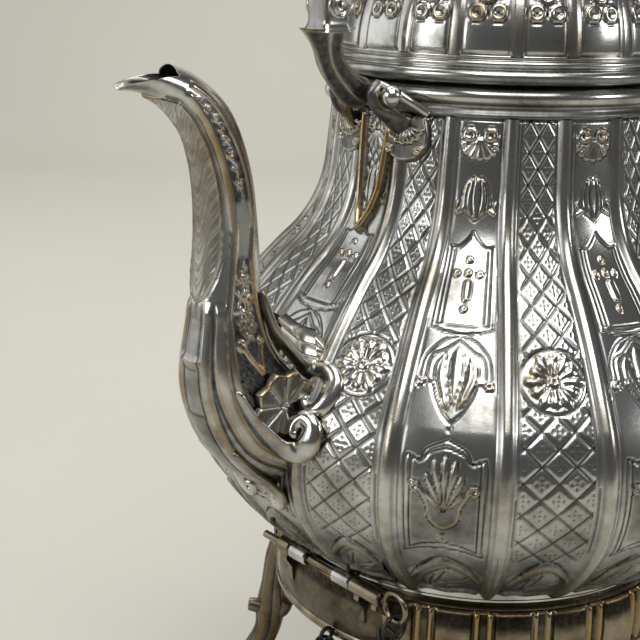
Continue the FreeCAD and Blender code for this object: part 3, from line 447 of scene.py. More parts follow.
def strap_ornament(art, half):
    """Chased motifs of a strap panel; half gives the panel's half width at a height."""
    def spot(across, up):
        return np.array((across * half(up), up))

    def stroke(*points):
        return smooth_line([spot(*p) for p in points])

    def both(*points):
        line = stroke(*points)
        return line, line * (-1, 1)

    def pair(tool, points, *sizes):
        for line in both(*points):
            tool(line, *sizes)

    # Shell with two volutes below the neck.
    art.scallop((0.0, 153.4), 6.4, 9, 0.62)
    for side in (-1, 1):
        art.ringed_dot((side * 2.8, 154.2), 2.1)
    # Bell drop between two curls.
    bell = stroke((0, 142.8), (-0.24, 142.0), (-0.4, 139.6), (-0.45, 136.6), (-0.47, 134.0), (-0.28, 132.6),
                  (-0.12, 131.2), (0, 130.2))
    art.pad(np.vstack([bell, bell[::-1] * (-1, 1)]), 0.5, 2.0, 0.4)
    pair(art.groove, ((-0.1, 141.6), (-0.14, 137.0), (-0.08, 132.0)), 0.42, 0.28)
    pair(art.groove, ((-0.24, 140.8), (-0.32, 137.0), (-0.28, 133.6)), 0.42, 0.28)
    pair(art.ridge, ((-0.44, 133.4), (-0.62, 132.6), (-0.78, 133.4)), 0.6, 0.4)
    for side in (-1, 1):
        art.ringed_dot(spot(side * 0.7, 134.8), 1.5)
    # Ogee frame with its dots and drop.
    for inset, depth in ((0.0, 0.36), (0.12, 0.3), (0.22, 0.26)):
        pair(art.groove, ((-0.7 + inset, 98.0 + inset * 8), (-0.7 + inset, 123.6 - inset * 8)), 0.45, depth)
    pair(art.groove, ((-0.72, 123.2), (-0.4, 122.8), (-0.18, 124.6), (0, 127.0)), 0.5)
    pair(art.groove, ((-0.74, 98.4), (-0.4, 96.9), (0, 96.4), (0.4, 96.9)), 0.45)
    pair(art.groove, ((-0.74, 99.8), (-0.4, 98.9), (0, 98.6)), 0.35, 0.24)
    for across, up, radius in ((0, 119.2, 0.8), (-0.3, 114.8, 1.0), (0.3, 114.8, 1.0), (0, 115.2, 1.0),
                               (0, 103.8, 0.9)):
        art.ringed_dot(spot(across, up), radius)
    art.pad(stroke((-0.1, 112.5), (-0.09, 107.2), (0, 105.8), (0.09, 107.2), (0.1, 112.5), (0, 113.2)),
            0.4, 0.8, 0.5)
    # Pointed arch over a tulip.
    for grow in (1.0, 0.86):
        pair(art.groove, ((-0.7 * grow, 84.0), (-0.64 * grow, 89.5),
                          (-0.36 * grow, 94.2 * grow ** 0.2), (0, 96.0 - 10 * (1 - grow))), 0.5)
    for side in (-1, 1):
        art.ringed_dot(spot(side * 0.66, 82.2), 1.25)
    pair(art.groove, ((-0.6, 81.6), (-0.44, 82.0), (-0.34, 78.5), (-0.16, 74.0), (0, 71.6)), 0.45)
    tulip = stroke((0, 93.0), (-0.12, 90.0), (-0.13, 84.0), (0, 75.0))
    art.pad(np.vstack([tulip, tulip[::-1] * (-1, 1)]), 0.3, 2.0, 0.35)
    pair(art.pad, ((-0.26, 90.6), (-0.44, 86.8), (-0.36, 81.0), (-0.1, 75.0), (-0.17, 83.0)), 0.3, 2.0, 0.35)
    pair(art.groove, ((-0.3, 88.6), (-0.34, 84.0), (-0.2, 78.6)), 0.4, 0.2)
    art.punch(spot(0, 70.0), 1.0)
    # Cartouche with a palmette on a dark ground.
    ground = ease((0.6 * half(art.y) - np.abs(art.x)) / 1.2)
    ground = ground * ease((art.y - 37.0) / 2.0) * ease((63.0 - art.y) / 2.0)
    art.darken(0.5 * ground)
    for grow, fall in ((1.0, 0.0), (0.86, 2.0)):
        pair(art.groove, ((-0.7 * grow, 32.5 + fall), (-0.7 * grow, 60.6),
                          (-0.56 * grow, 61.8 - fall / 3), (-0.44 * grow, 62.0),
                          (-0.34 * grow, 64.8 - fall / 2), (0, 67.4 - fall)), 0.5, 0.36)
        pair(art.groove, ((-0.7 * grow, 32.5 + fall), (-0.4 * grow, 34.8 + fall), (0, 35.8 + fall)), 0.5)
    for turn, reach in ((0.0, 13.8), (0.36, 13.4), (0.75, 12.0), (1.15, 9.4)):
        for side in ((-1, 1) if turn else (1,)):
            tip = np.array((side * reach * 0.62 * math.sin(turn), 50.0 + reach * math.cos(turn)))
            root = np.array((side * 0.4 * math.sin(turn), 48.0))
            wide = np.array((1.15 * math.cos(turn), -0.8 * side * math.sin(turn)))
            middle = root + (tip - root) * 0.72
            art.pad(smooth_line([root, middle - wide, tip, middle + wide], 5), 0.42, 0.8, 0.45)
    for side in (-1, 1):
        art.ringed_dot(spot(side * 0.5, 54.6), 1.5)
    for line in both((-0.42, 54.0), (-0.3, 50.2), (-0.26, 46.6), (-0.12, 44.2), (0, 43.4)):
        art.ridge(line, 0.6, 0.4)
        art.groove(line + (0, -1.0), 0.4)
    art.ringed_dot(spot(0, 39.6), 1.5)
    leaf_base(art, half)


def leaf_base(art, half):
    """Half leaf under an arch at the foot of every panel."""
    def stroke(*points):
        return smooth_line([np.array((across * half(up), up)) for across, up in points])

    arch = stroke((-0.86, 9.0), (-0.78, 15.0), (-0.5, 23.0), (0, 29.4), (0.5, 24.0), (0.78, 16.0),
                  (0.86, 9.0))
    art.ridge(arch, 1.5, 0.95)
    art.groove(arch - (0, 2.2), 0.7, 0.4)
    art.groove(arch + (0, 2.2), 0.6, 0.4)
    leaf = stroke((-0.55, 11.0), (-0.4, 18.0), (0.0, 25.0), (0.36, 23.6), (0.52, 18.0), (0.2, 13.0))
    art.pad(leaf, 0.8, 2.4, 0.8)
    for line in (((-0.44, 12.0), (-0.1, 17.5), (0.42, 21.0)), ((-0.24, 14.6), (-0.1, 20.0), (0.02, 24.0)),
                 ((0.0, 15.0), (0.22, 17.4), (0.44, 17.6)), ((-0.36, 13.6), (-0.3, 17.4), (-0.2, 21.0))):
        art.groove(stroke(*line), 0.6, 0.45)
    wave = stroke((-0.9, 5.0), (-0.4, 8.6), (0.0, 6.4), (0.4, 8.6), (0.9, 5.0))
    art.ridge(wave, 1.1, 0.8)
    art.groove(wave - (0, 1.6), 0.6, 0.4)


def lattice_ornament(art, half, pitch):
    """Diamonds with punched crosses, a rosette and the half leaf of a lattice panel."""
    wide = half(art.y) * 2 / 3.0
    a = art.x / wide + (art.y - LATTICE_UP) / pitch
    b = art.x / wide - (art.y - LATTICE_UP) / pitch
    scale = wide * pitch / np.hypot(wide, pitch)
    line = np.minimum(np.abs(a - np.round(a)), np.abs(b - np.round(b))) * scale
    field = ease((art.y - LATTICE_UP) / 1.2)
    rosette = np.hypot(art.x, art.y - ROSETTE_UP)
    field = field * ease((rosette - 9.2) / 0.5)
    cut = ease(1.0 - line / 0.5) * field
    art.height += (0.12 * ease(line / 1.2) - 0.24 * cut) * field
    art.darken(cut)
    ca, cb = a - np.floor(a) - 0.5, b - np.floor(b) - 0.5
    dx, dy = (ca + cb) / 2 * wide, (ca - cb) / 2 * pitch
    for ox, oy in ((0, 0), (0.15, 0), (-0.15, 0), (0, 0.15), (0, -0.15)):
        hole = ease(1.0 - np.hypot(dx - ox * wide, dy - oy * pitch) / 0.5) * field
        art.height -= 0.26 * hole
        art.darken(0.9 * hole)
    turn = np.linspace(0, 2 * np.pi, 49)
    circle = np.stack([np.cos(turn), np.sin(turn)], 1)
    art.groove(circle * 9.0 + (0, ROSETTE_UP), 0.6)
    for petal in range(12):
        way = np.array((math.cos(petal * math.pi / 6), math.sin(petal * math.pi / 6)))
        side = np.array((-way[1], way[0]))
        tip = 8.3 if petal % 2 == 0 else 7.2
        outline = [way * 1.5, way * 5.8 + side * 1.75, way * tip, way * 5.8 - side * 1.75, way * 1.5]
        art.pad(smooth_line(outline, 6) + (0, ROSETTE_UP), 0.5, 1.7, 0.3)
    art.ringed_dot((0, ROSETTE_UP), 1.4)
    leaf_base(art, half)


def pot_point(side, v, angle, lift):
    """Points on a turned side; angle is counted from the spout, towards the viewer if negative."""
    r, z = side.at(v)
    nr, nz = side.normal(v)
    r, z = r + nr * lift, z + nz * lift
    return np.stack([-r * np.cos(angle), r * np.sin(angle), z], 1)


def sectors(prefix, columns, rows, side, relief, body):
    """Ten like sectors round a turned side; relief draws one of them once for all."""
    drawn = []
    for sector in range(PANELS):
        def placer(u, v):
            if not drawn:
                drawn.extend(relief(u, v))
            angle, up, lift, black, worn = drawn
            return pot_point(side, up, -(angle + PANEL_STEP * sector), lift), black, worn

        plate(f"{prefix}_{sector + 1}", columns, rows, placer, body=body, weld=False)


def sector_grid(side, start, u, v):
    """Spots of a sector from its first angle: angle, height, whether in the strap, distance from the
    nearest rib, and the panel to draw on."""
    angle, up = start + PANEL_STEP * u, side.length * v
    radius, _ = side.at(up)
    strap = angle < STRAP_HALF
    edges = (-STRAP_HALF, STRAP_HALF, PANEL_STEP - STRAP_HALF)
    from_rib = np.min([np.abs(angle - edge) for edge in edges], 0) * radius
    return angle, up, strap, from_rib, Chasing((angle - np.where(strap, 0.0, PANEL_STEP / 2)) * radius, up)


class POT_OT_body(bpy.types.Operator):
    """Ten chased sectors of the pear-shaped body, each a strap, its ribs and a lattice"""
    bl_idname = "pot.body"
    bl_label = "Chased Body"

    def execute(self, context):
        sizes = context.scene.pot_sizes
        side = POT_SIDE
        start = -(STRAP_HALF + math.radians(2.6))

        def relief(u, v):
            angle, up, strap, from_rib, art = sector_grid(side, start, u, v)
            for select, half_angle, draw in (
                    (strap, STRAP_HALF, strap_ornament),
                    (~strap, LATTICE_HALF, lambda a, h: lattice_ornament(a, h, sizes.lattice_pitch / MM))):
                part = Chasing(art.x[select], up[select])
                draw(part, lambda y, k=half_angle: side.at(y)[0] * k)
                for name in ("height", "black", "worn"):
                    getattr(art, name)[select] = getattr(part, name)
            wide = np.interp(up, (0, 20, 60, 110, 157), (2.4, 2.7, 2.9, 2.7, 2.4))
            rib = np.clip(1.0 - (from_rib / wide) ** 2, 0.0, 1.0) ** 0.75
            crest = 1.3 / (1.0 - (1.62 / wide) ** 2) ** 0.75
            valley = ease(1.0 - (from_rib - wide) / 1.1) * (from_rib > wide)
            flat = ease((from_rib - wide - 0.3) / 0.9)
            art.height *= flat
            art.black = np.maximum(art.black * flat, 0.75 * valley)
            art.worn = np.maximum(art.worn * flat, 0.16 * ease(rib * 2 - 1))
            ends = ease(up / 1.0) * ease((side.length - up) / 1.0)
            lift = (sizes.skin / MM + sizes.relief * art.height - 0.12 * valley) * ends
            lift = np.where(rib > 0, np.maximum(lift, crest * rib), lift)
            # Painted shade: darker near the foot, where the belly meets the stand, and over the lower belly,
            # for the dark it would reflect from below.
            art.darken(0.7 * ease(1.0 - up / 6.0))
            art.darken(0.76 * ease(1.25 - up / 44.0) * (1.0 - 0.5 * rib))
            # Painted shade on both flanks of every rib, leaving a bright crest between dark sides.
            flank_shade = close(from_rib / wide - 0.66, 0.3)
            art.darken(0.5 * flank_shade)
            return angle, up, lift, art.black, art.worn

        sectors("body_panel", 128, 336, side, relief, "kettle")
        return {"FINISHED"}


class POT_OT_lid(bpy.types.Operator):
    """Lobed lid dome with ribs and clusters of ringed circles"""
    bl_idname = "pot.lid"
    bl_label = "Chased Lid"

    def execute(self, context):
        sizes = context.scene.pot_sizes
        side = LID_SIDE

        def relief(u, v):
            angle, up, strap, from_rib, art = sector_grid(side, -STRAP_HALF * 1.2, u, v)
            for row, grow in ((11.0, 1.0), (30.0, 0.66)):
                for x, y in ((-2.8, 0.0), (2.8, 0.0), (0.0, 4.7)):
                    art.ringed_dot((x * grow, row + y * grow), 2.6 * grow)
            wide = np.interp(up, (0, 30, side.length), (2.0, 1.8, 1.45))
            rib = np.sqrt(np.clip(1.0 - (from_rib / wide) ** 4, 0.0, 1.0))
            reach = np.where(strap, STRAP_HALF, LATTICE_HALF) * side.at(up)[0]
            lobe = dome(art.x / (reach + 0.2))
            valley = ease(1.0 - (from_rib - wide) / 0.9) * (from_rib > wide)
            art.darken(0.8 * valley)
            ends = ease(up / 0.8)
            lift = (sizes.skin / MM + sizes.relief * art.height + 0.55 * lobe - 0.2 * valley) * ends
            lift = np.where(rib > 0, np.maximum(lift, 1.15 * rib), lift)
            return angle, up, lift, art.black, np.maximum(art.worn, 0.15 * ease(rib * 2 - 1))

        sectors("lid_panel", 90, 120, side, relief, "lid")
        return {"FINISHED"}


class POT_OT_mouldings(bpy.types.Operator):
    """Turned mouldings: the neck collar and the rim of the lid"""
    bl_idname = "pot.mouldings"
    bl_label = "Turned Mouldings"

    def execute(self, context):
        def reed(centre, radius, start, stop):
            turn = np.radians(np.linspace(start, stop, 9))
            return [(centre[0] + radius * math.cos(t), centre[1] + radius * math.sin(t)) for t in turn]

        rim = [(46.0, 258.0), (52.2, 258.0)] + reed((52.0, 259.9), 1.8, -80, 80)
        rim += [(51.6, 262.0)] + reed((51.6, 263.2), 1.0, -80, 80)
        rim += reed((50.9, 265.0), 0.75, -60, 110) + [(46.0, 265.6), (46.0, 258.0)]
        piece = turned("lid_rim_moulding", rim, 180, lambda z: 0.55 * ease((260.6 - z) / 1.4))
        dress(piece, "lid", "silver_plate", ["lid_rim"])
        neck = [(47.5, 257.6), (47.5, 248.5), (50.2, 248.5)] + reed((50.9, 249.4), 0.85, -90, 60)
        neck += [(51.0, 250.6)] + reed((49.9, 254.3), 2.5, -75, 70)
        neck += [(49.8, 257.2), (48.4, 257.6), (47.5, 257.6)]
        piece = turned("neck_collar_moulding", neck, 180, lambda z: 0.6 * ease((254.6 - z) / 3.6))
        dress(piece, "kettle", "silver_plate", ["neck_collar"])
        return {"FINISHED"}


def tube_point(path, share, turn, grow, shrink=1.0, square=1.0):
    """Points round a bent tube whose path lies in the plane of the spout and handle.
    A square of 1 gives a round tube, a smaller one a bar with rounded corners."""
    out, high, heading, wide, deep = np.moveaxis(along_rows(path, share), -1, 0)
    heading = np.radians(heading)
    across = (wide + grow) * np.sign(np.sin(turn)) * np.abs(np.sin(turn)) ** square * shrink
    back = (deep + grow) * np.sign(np.cos(turn)) * np.abs(np.cos(turn)) ** square * shrink
    return np.stack([-(out - np.sin(heading) * back), -across, high + np.cos(heading) * back], 1)


class POT_OT_spout(bpy.types.Operator):
    """Cast spout with its feathered leaf, floral side panels and open beak"""
    bl_idname = "pot.spout"
    bl_label = "Cast Spout"

    def execute(self, context):
        def placer(u, v):
            turn = (u * 2.0 - 1.0) * math.pi
            off = np.abs(turn)
            mouth = np.interp(np.degrees(off), (0, 45, 60, 70, 90, 105, 118, 130, 180),
                              (0.832, 0.828, 0.822, 0.845, 0.885, 0.93, 0.975, 1.0, 1.0))
            outer = np.clip(v / 0.86, 0.0, 1.0)
            inner = np.clip((v - 0.86) / 0.14, 0.0, 1.0)
            share = mouth * outer - 0.3 * inner
            art = spout_relief(share, np.degrees(off))
            grow = np.where(inner > 0, -1.1 * ease(inner * 6.0), art.height)
            black = np.where(inner > 0, ease(inner * 3.0) * 0.8, art.black)
            points = tube_point(SPOUT, share, turn, grow)
            radius = np.hypot(points[:, 0], points[:, 1])
            wall = np.interp(points[:, 2], POT_SIDE.z, POT_SIDE.r) - 0.5
            push = np.maximum(1.0, wall / np.maximum(radius, 1.0))
            points[:, :2] *= np.where(points[:, 2] < 230, push, 1.0)[:, None]
            return points, black, np.where(inner > 0, 0.0, art.worn)

        plate("spout_cast", 220, 380, placer, ["spout", "spout_leaf"])
        return {"FINISHED"}


def spout_relief(share, turn):
    """Relief of the spout by its length share and the angle from its back, in degrees."""
    front = np.interp(share, (0.0, 0.1, 0.13, 0.2, 0.26, 0.336, 0.41, 0.48, 0.55, 0.667, 0.725, 0.78, 1.0),
                      (98, 105, 112, 115, 116, 121, 116, 110, 114, 118, 111, 97, 90))
    back = np.interp(share, (0.0, 0.12, 0.2, 0.27, 0.33, 0.39, 0.43, 0.48, 0.57, 0.65, 0.74, 1.0),
                     (30, 36, 40, 54, 63, 74, 78, 67, 68, 74, 67, 66))
    leaf = np.interp(share, (0.0, 0.358, 0.37, 0.4, 0.434, 0.482, 0.574, 0.681, 0.749, 0.8, 0.841, 0.9, 1.0),
                     (181, 180, 162, 146, 135, 130, 131, 135, 127, 124, 139, 181, 181))
    size = np.interp(share, (0, 0.2, 0.4, 0.8, 1.0), (0.29, 0.23, 0.155, 0.1, 0.06))
    art = Chasing(turn * size, share * SPOUT_RUN)
    in_panel = ease((turn - back) * size / 0.7) * ease((front - turn) * size / 0.7)
    in_panel = in_panel * ease((share - 0.06) / 0.03) * ease((0.738 + (turn - 67.0) * 0.0014 - share) / 0.01)
    plain = ease((share - 0.432) / 0.008) * ease((0.527 - share) / 0.008)
    deep = in_panel * (1.0 - plain)
    pebbles = np.sin(art.x * 7.0 + 2.0 * np.sin(art.y * 3.1))
    pebbles = pebbles * np.sin(art.y * 6.3 + 1.7 * np.sin(art.x * 2.7))
    art.height -= (0.75 + 0.1 * pebbles) * deep + 0.15 * in_panel * plain
    art.darken((0.84 - 0.16 * pebbles) * deep)
    middle = (front + back) / 2 * size
    grown = np.zeros_like(turn)
    for place, offset, reach, kind in (
            (0.752, 0.0, 1.5, 5), (0.722, 0.2, 1.2, 0), (0.695, 0.0, 1.4, 4), (0.668, -0.2, 1.1, 0),
            (0.64, 0.0, 1.3, 3), (0.612, 0.3, 1.4, 0), (0.585, 0.0, 1.4, 4), (0.555, 0.0, 1.6, 5),
            (0.42, 0.0, 1.4, 3), (0.402, 0.9, 1.6, 5), (0.396, -1.2, 1.5, 4), (0.376, 0.4, 2.1, 5),
            (0.365, -1.9, 1.3, 0), (0.352, 2.0, 1.6, 3), (0.343, -0.6, 2.2, 6), (0.328, 1.5, 1.7, 5),
            (0.32, -1.9, 1.5, 4), (0.306, 0.2, 1.9, 5), (0.29, -3.2, 1.3, 0), (0.292, 3.2, 1.3, 0)):
        x, y = art.x - middle - offset, art.y - place * SPOUT_RUN
        far, way = np.hypot(x, y), np.arctan2(x, y)
        edge = reach * (1.0 + 0.2 * np.cos(kind * way))
        lump = dome(far / edge) * (0.75 + 0.25 * np.cos(kind * way * 2))
        lump = lump * (1.0 - 0.55 * ease(1.0 - far / 0.5))
        grown = np.maximum(grown, lump)
    fork = np.abs(np.abs(art.x - middle) - np.interp(share, (0.23, 0.25, 0.285), (0.0, 0.7, 2.6)))
    fork = dome(fork / 0.75) * (share > 0.228) * (share < 0.292)
    grown = np.maximum(grown, fork)
    stem = dome((art.x - middle - 0.5 * np.sin(art.y)) / 0.6)
    grown = np.maximum(grown, 0.6 * stem * (share > 0.3)) * deep
    art.height += 1.45 * grown
    art.black *= 1.0 - ease(grown * 1.7)
    art.wear(0.8 * ease(grown * 1.6 - 0.6))
    for edge in (front, back):
        far = np.abs(turn - edge) * size
        bead = dome(far / 1.1) * ease((share - 0.05) / 0.04)
        bead = bead * ease((0.8 - share) / 0.02)
        art.height = np.maximum(art.height, 0.5 * bead)
        art.wear(0.75 * bead)
        art.black *= 1.0 - ease(bead * 1.5)
    reach = (turn - leaf) * size
    on_leaf = ease(reach / 0.4) * (share > 0.352)
    off = np.abs(180.0 - turn) * size
    barb = art.y - off * 1.5
    feather = np.sin(barb * 4.1 + 1.9 * np.sin(barb * 0.7) + 1.6 * np.sin(off * 1.3))
    feather = feather * np.sin(off * 0.9 + barb * 1.7)
    art.height += on_leaf * (0.45 + 0.09 * feather + 0.35 * ease(1.0 - reach / 1.0))
    art.black = np.where(on_leaf > 0.5, (0.3 + 0.28 * feather) * ease(reach / 1.0), art.black)
    art.worn = np.where(on_leaf > 0.3, np.maximum(ease(1.35 - reach / 0.6), 0.25), art.worn)
    shade = ease(1.0 + reach / 1.6) * (reach < 0) * (share > 0.33) * (share < 0.84)
    art.height -= 0.35 * shade
    art.darken(0.55 * shade)
    low = ease((0.365 - share) / 0.02) * ease((turn - front) * size / 0.8)
    outer = np.interp(share, (0.08, 0.13, 0.21, 0.35), (120, 126, 129.5, 132))
    for place, wide in ((153.0, 1.6), (outer, 1.7)):
        far = np.abs(turn - place) * size / wide
        band = low * dome(far)
        art.height += 0.75 * band
        art.wear(low * 0.9 * close(far - 0.7, 0.35))
        art.black = np.maximum(art.black * (1 - band), low * 0.9 * close(far - 1.35, 0.5))
    inside = ease((turn - 159.0) * size / 0.4)
    recess = inside * ease((share - 0.19) / 0.004) * ease((0.262 - share) / 0.004)
    step = inside * close(share - 0.27, 0.008)
    art.height += 0.6 * step - 0.45 * recess
    art.darken(0.4 * low * inside * (1 - step) * (1 - 0.4 * recess))
    border = close((turn - 163.0) * size, 0.3) * (share > 0.19) * (share < 0.262)
    border = np.maximum(border, inside * close(share - 0.192, 0.003))
    border = np.maximum(border, inside * close(share - 0.258, 0.003))
    art.darken(0.9 * border)
    art.wear(0.5 * step)
    return art


def applique(name, angle, low, high, half, drawing, lift, columns=70, rows=90):
    """An applied ornament on the pot's side; what lies outside its outline dips under the skin."""
    def placer(u, v):
        up = low + (high - low) * v
        radius, _ = POT_SIDE.at(up)
        across = (u * 2.0 - 1.0) * half
        art = Chasing(across, up)
        inside = drawing(art)
        rise = np.where(inside > 0, lift * np.sqrt(np.clip(inside, 0, 1)) + art.height, -0.4)
        points = pot_point(POT_SIDE, up, angle + across / radius, rise)
        return points, np.maximum(art.black, 0.8 * ease(1 - inside * 3)), art.worn

    plate(name, columns, rows, placer, weld=False)


# Scrolls at the root of the spout, on the side towards -Y: the upper one runs off the spout's
# back edge, the lower one off its front edge, and both end in volutes on the belly.
ROOT_SCROLLS = {
    "upper": [(-99.6, -7.4, 204.5), (-97.0, -9.4, 194.3), (-91.5, -10.4, 186.5), (-87.0, -10.8, 181.6),
              (-84.8, -13.2, 180.4), (-83.8, -17.0, 180.6), (-84.2, -19.8, 178.6), (-86.2, -20.8, 175.4),
              (-88.6, -19.8, 172.2), (-90.0, -16.6, 171.2), (-89.8, -14.4, 173.0), (-88.6, -15.4, 174.4)],
    "lower": [(-111.0, -11.6, 179.9), (-107.8, -13.2, 173.2), (-102.8, -14.4, 166.3), (-98.0, -15.8, 161.6),
              (-95.2, -18.8, 160.7), (-93.8, -21.4, 164.0), (-92.6, -20.8, 167.8), (-93.0, -18.0, 169.4),
              (-94.4, -16.2, 168.0), (-95.2, -16.4, 165.8), (-94.4, -17.4, 165.6)],
    "foot": [(-109.4, -7.6, 160.6), (-103.8, -8.4, 154.1), (-97.2, -8.4, 148.0), (-94.2, -9.6, 144.6),
             (-92.4, -8.4, 140.8), (-91.6, -5.6, 139.6), (-92.6, -5.2, 142.4), (-93.4, -6.8, 142.6)],
}


def swept(points, widths, heights, u, v):
    """Points of a scroll band that follows a line and leans away from the pot's axis."""
    line = along_rows(points, v)
    ahead = along_rows(points, np.clip(v + 0.004, 0, 1)) - along_rows(points, np.clip(v - 0.004, 0, 1))
    ahead = ahead / np.linalg.norm(ahead, axis=1, keepdims=True)
    out = line * (1.0, 1.6, 0.0)
    across = np.cross(ahead, out / np.linalg.norm(out, axis=1, keepdims=True))
    across = across / np.linalg.norm(across, axis=1, keepdims=True)
    out = np.cross(across, ahead)
    turn = 2.0 * math.pi * u
    shares = np.linspace(0, 1, len(widths))
    ends = np.sqrt(np.clip(np.minimum(v, 1.0 - v) / 0.03, 0.0, 1.0))
    wide = np.interp(v, shares, widths) * np.cos(turn) * ends
    high = np.interp(v, shares, heights) * np.sin(turn) * ends
    return line + across * wide[:, None] + out * high[:, None], turn


def root_shell(u, v):
    """Fluted shell on the side of the spout's root."""
    turn = math.radians(10.0) + math.radians(280.0) * u
    lobe = np.abs(np.cos(u * 7.0 * math.pi - math.pi / 2))
    point = 1.0 - np.abs((u * 7.0) % 1.0 - 0.5) * 2.0
    reach = np.interp(u, (0, 0.12, 0.4, 0.6, 0.8, 1), (9.0, 9.6, 10.6, 10.2, 8.8, 7.2))
    reach = reach * (0.84 + 0.16 * point)
    rim = ease((v - 0.95) / 0.05)
    rise = 2.3 * (0.45 + 0.55 * v) * (0.72 + 0.28 * np.sqrt(lobe)) * (1 - rim) + 0.9 * (v < 0.12)
    x = -96.6 + reach * v * np.cos(turn) * 1.06
    z = 173.0 + reach * v * np.sin(turn) * 1.04
    black = np.maximum(0.9 * ease(0.5 - lobe * 1.8) * ease(v * 4), rim * 0.9)
    black = np.maximum(black, 0.25 * (v < 0.86))
    worn = np.maximum(ease((v - 0.84) / 0.08) * 0.9, 0.25 * ease(lobe * 2 - 1)) * (1 - rim)
    return np.stack([x, -(13.6 + rise), z], 1), black, worn


def root_wing(u, v):
    """Leaf wing between the spout's back and the belly."""
    upper = [(-90.5, -5.5, 196.0), (-83.5, -3.5, 191.0), (-78.2, -7.0, 188.6), (-78.4, -12.0, 186.6)]
    lower = [(-91.5, -10.0, 188.0), (-86.4, -11.2, 182.4), (-83.4, -14.0, 181.0), (-80.2, -15.4, 183.6)]
    line = along_rows(upper, v) * (1 - u)[:, None] + along_rows(lower, v) * u[:, None]
    flute = np.abs(np.sin(u * 3.0 * math.pi))
    edge = ease(u / 0.08) * ease((1 - u) / 0.08) * ease((1 - v) / 0.06)
    rise = (1.1 + 0.9 * np.sqrt(flute)) * edge - 1.2 * (1 - edge)
    radius = np.hypot(line[:, 0], line[:, 1])
    wall = np.interp(line[:, 2], POT_SIDE.z, POT_SIDE.r)
    push = (np.maximum(radius, wall) + rise) / radius
    line[:, :2] *= push[:, None]
    return line, np.maximum(0.85 * ease(0.6 - flute * 2), 1 - edge), 0.4 * ease(flute * 2 - 1)


def root_scroll(kind):
    """Placer of one of the root's scrolls."""
    slim = kind == "foot"
    wide = (1.1, 1.5, 1.8, 1.5, 1.0) if slim else (1.5, 2.3, 3.0, 3.4, 3.3, 2.7, 1.9, 1.4)
    high = (1.0, 1.2, 1.4, 1.4, 1.1) if slim else (0.8, 1.2, 1.6, 1.9, 2.1, 2.0, 1.9, 1.8)

    def placer(u, v):
        made, turn = swept(ROOT_SCROLLS[kind], wide, high, u, v)
        rim = ease(1.0 - np.abs(np.abs(np.cos(turn)) - 0.86) / 0.14)
        return made, 0.35 * ease(0.9 - v * 2.0), 0.9 * rim
    return placer


class POT_OT_root(bpy.types.Operator):
    """Shell, scrolls and leaf wings where the spout grows from the belly"""
    bl_idname = "pot.root"
    bl_label = "Spout Root"

    def execute(self, context):
        for name in ("left", "right"):
            flip = np.diag((1.0, -side_of(f"spout_shell_{name}", 1), 1.0))
            plate(f"root_shell_{name}", 154, 40, moved(root_shell, flip), [f"spout_shell_{name}"])
            plate(f"root_wing_{name}", 60, 50, moved(root_wing, flip))
            for kind in ROOT_SCROLLS:
                plate(f"root_scroll_{kind}_{name}", 28, 110, moved(root_scroll(kind), flip))
        return {"FINISHED"}


# Lines of a lug, its brace and the volute on the bow's foot, on the side towards -X and -Y.
LUG = [(-58.0, -7.3, 257.6), (-60.0, -7.3, 254.4), (-58.8, -7.8, 250.6), (-55.6, -9.2, 247.8),
       (-52.6, -10.6, 245.4), (-49.0, -11.6, 243.6)]
BRACE = [(-59.2, -8.0, 257.0), (-57.4, -11.6, 255.2), (-54.6, -15.6, 252.4), (-50.6, -19.0, 249.0)]
VOLUTE = [(-71.5 + across, -4.5, 277.4 + up) for across, up in zip(*spiral(3.7, 4.4, 5.2, 34))]


def fluted_arm(u, v):
    """Handle arm that opens into leaf lips."""
    turn = (u * 2.0 - 1.0) * math.pi
    outer, inner = np.clip(v / 0.92, 0, 1), np.clip((v - 0.92) / 0.08, 0, 1)
    gap = np.abs((turn + math.pi / 6) % (math.pi / 3) - math.pi / 6)
    ridge = np.exp(-(gap / 0.13) ** 2)
    deep = ease(outer * 8.0)
    ahead = ease(-np.cos(turn) * 2.0 + 0.5)
    lip = ahead * np.clip((outer - 0.5) / 0.5, 0, 1) ** 1.6 + (1 - ahead) * ease((outer - 0.86) / 0.14)
    grow = 0.3 - 0.55 * deep * (1 - ridge) + lip * 4.2 * np.abs(np.cos(turn)) ** (3.0 + 2.0 * (1 - ahead))
    shrink = np.sqrt(np.clip(outer / 0.03, 0, 1)) * (1 - ease(inner))
    points = tube_point(ARM, outer - 0.1 * inner, turn, grow, shrink)
    black = np.maximum(0.82 * deep * (1 - ridge), 0.9 * ease(inner * 2))
    worn = np.maximum(0.4 * ridge, ease((outer - 0.94) / 0.04)) * (inner == 0)
    return points, black * (1 - ease((outer - 0.9) / 0.06) * (inner == 0)), worn


def square_bow(u, v):
    """Bar of the handle above an arm."""
    turn = (u * 2.0 - 1.0) * math.pi
    shrink = np.sqrt(np.clip(v / 0.02, 0, 1)) * np.sqrt(np.clip((1 - v) / 0.01, 0, 1))
    points = tube_point(BOW, v, turn, 0.0, shrink, 0.4)
    corner = ease(1.0 - np.abs(np.abs(np.sin(2 * turn)) - 1.0) / 0.25)
    return points, 0.35 * (1 - corner), 0.35 * corner


def bracket(u, v):
    """Lug that carries an arm's pin."""
    made, turn = swept(LUG, (1.6, 1.7, 2.0, 2.8, 3.4, 3.4), (0.8, 3.4, 2.8, 1.8, 1.4, 1.2), u, v)
    edge = ease(np.abs(np.cos(turn)) * 3.0 - 2.0)
    return made, 0.75 * (1 - edge), 0.5 * edge


def brace(u, v):
    """Stay beside a lug."""
    made, turn = swept(BRACE, (0.9, 1.2, 1.2, 1.0), (0.8, 1.0, 1.0, 0.8), u, v)
    return made, 0.0 * v, 0.2 * ease(np.sin(turn))


def volute(u, v):
    """Spiral on the side of the bow's foot."""
    made, turn = swept(VOLUTE, (0.95, 0.9, 0.8, 0.9), (0.9, 0.9, 0.8, 1.4), u, v)
    return made, 0.0 * v, 0.3 * ease(np.sin(turn))


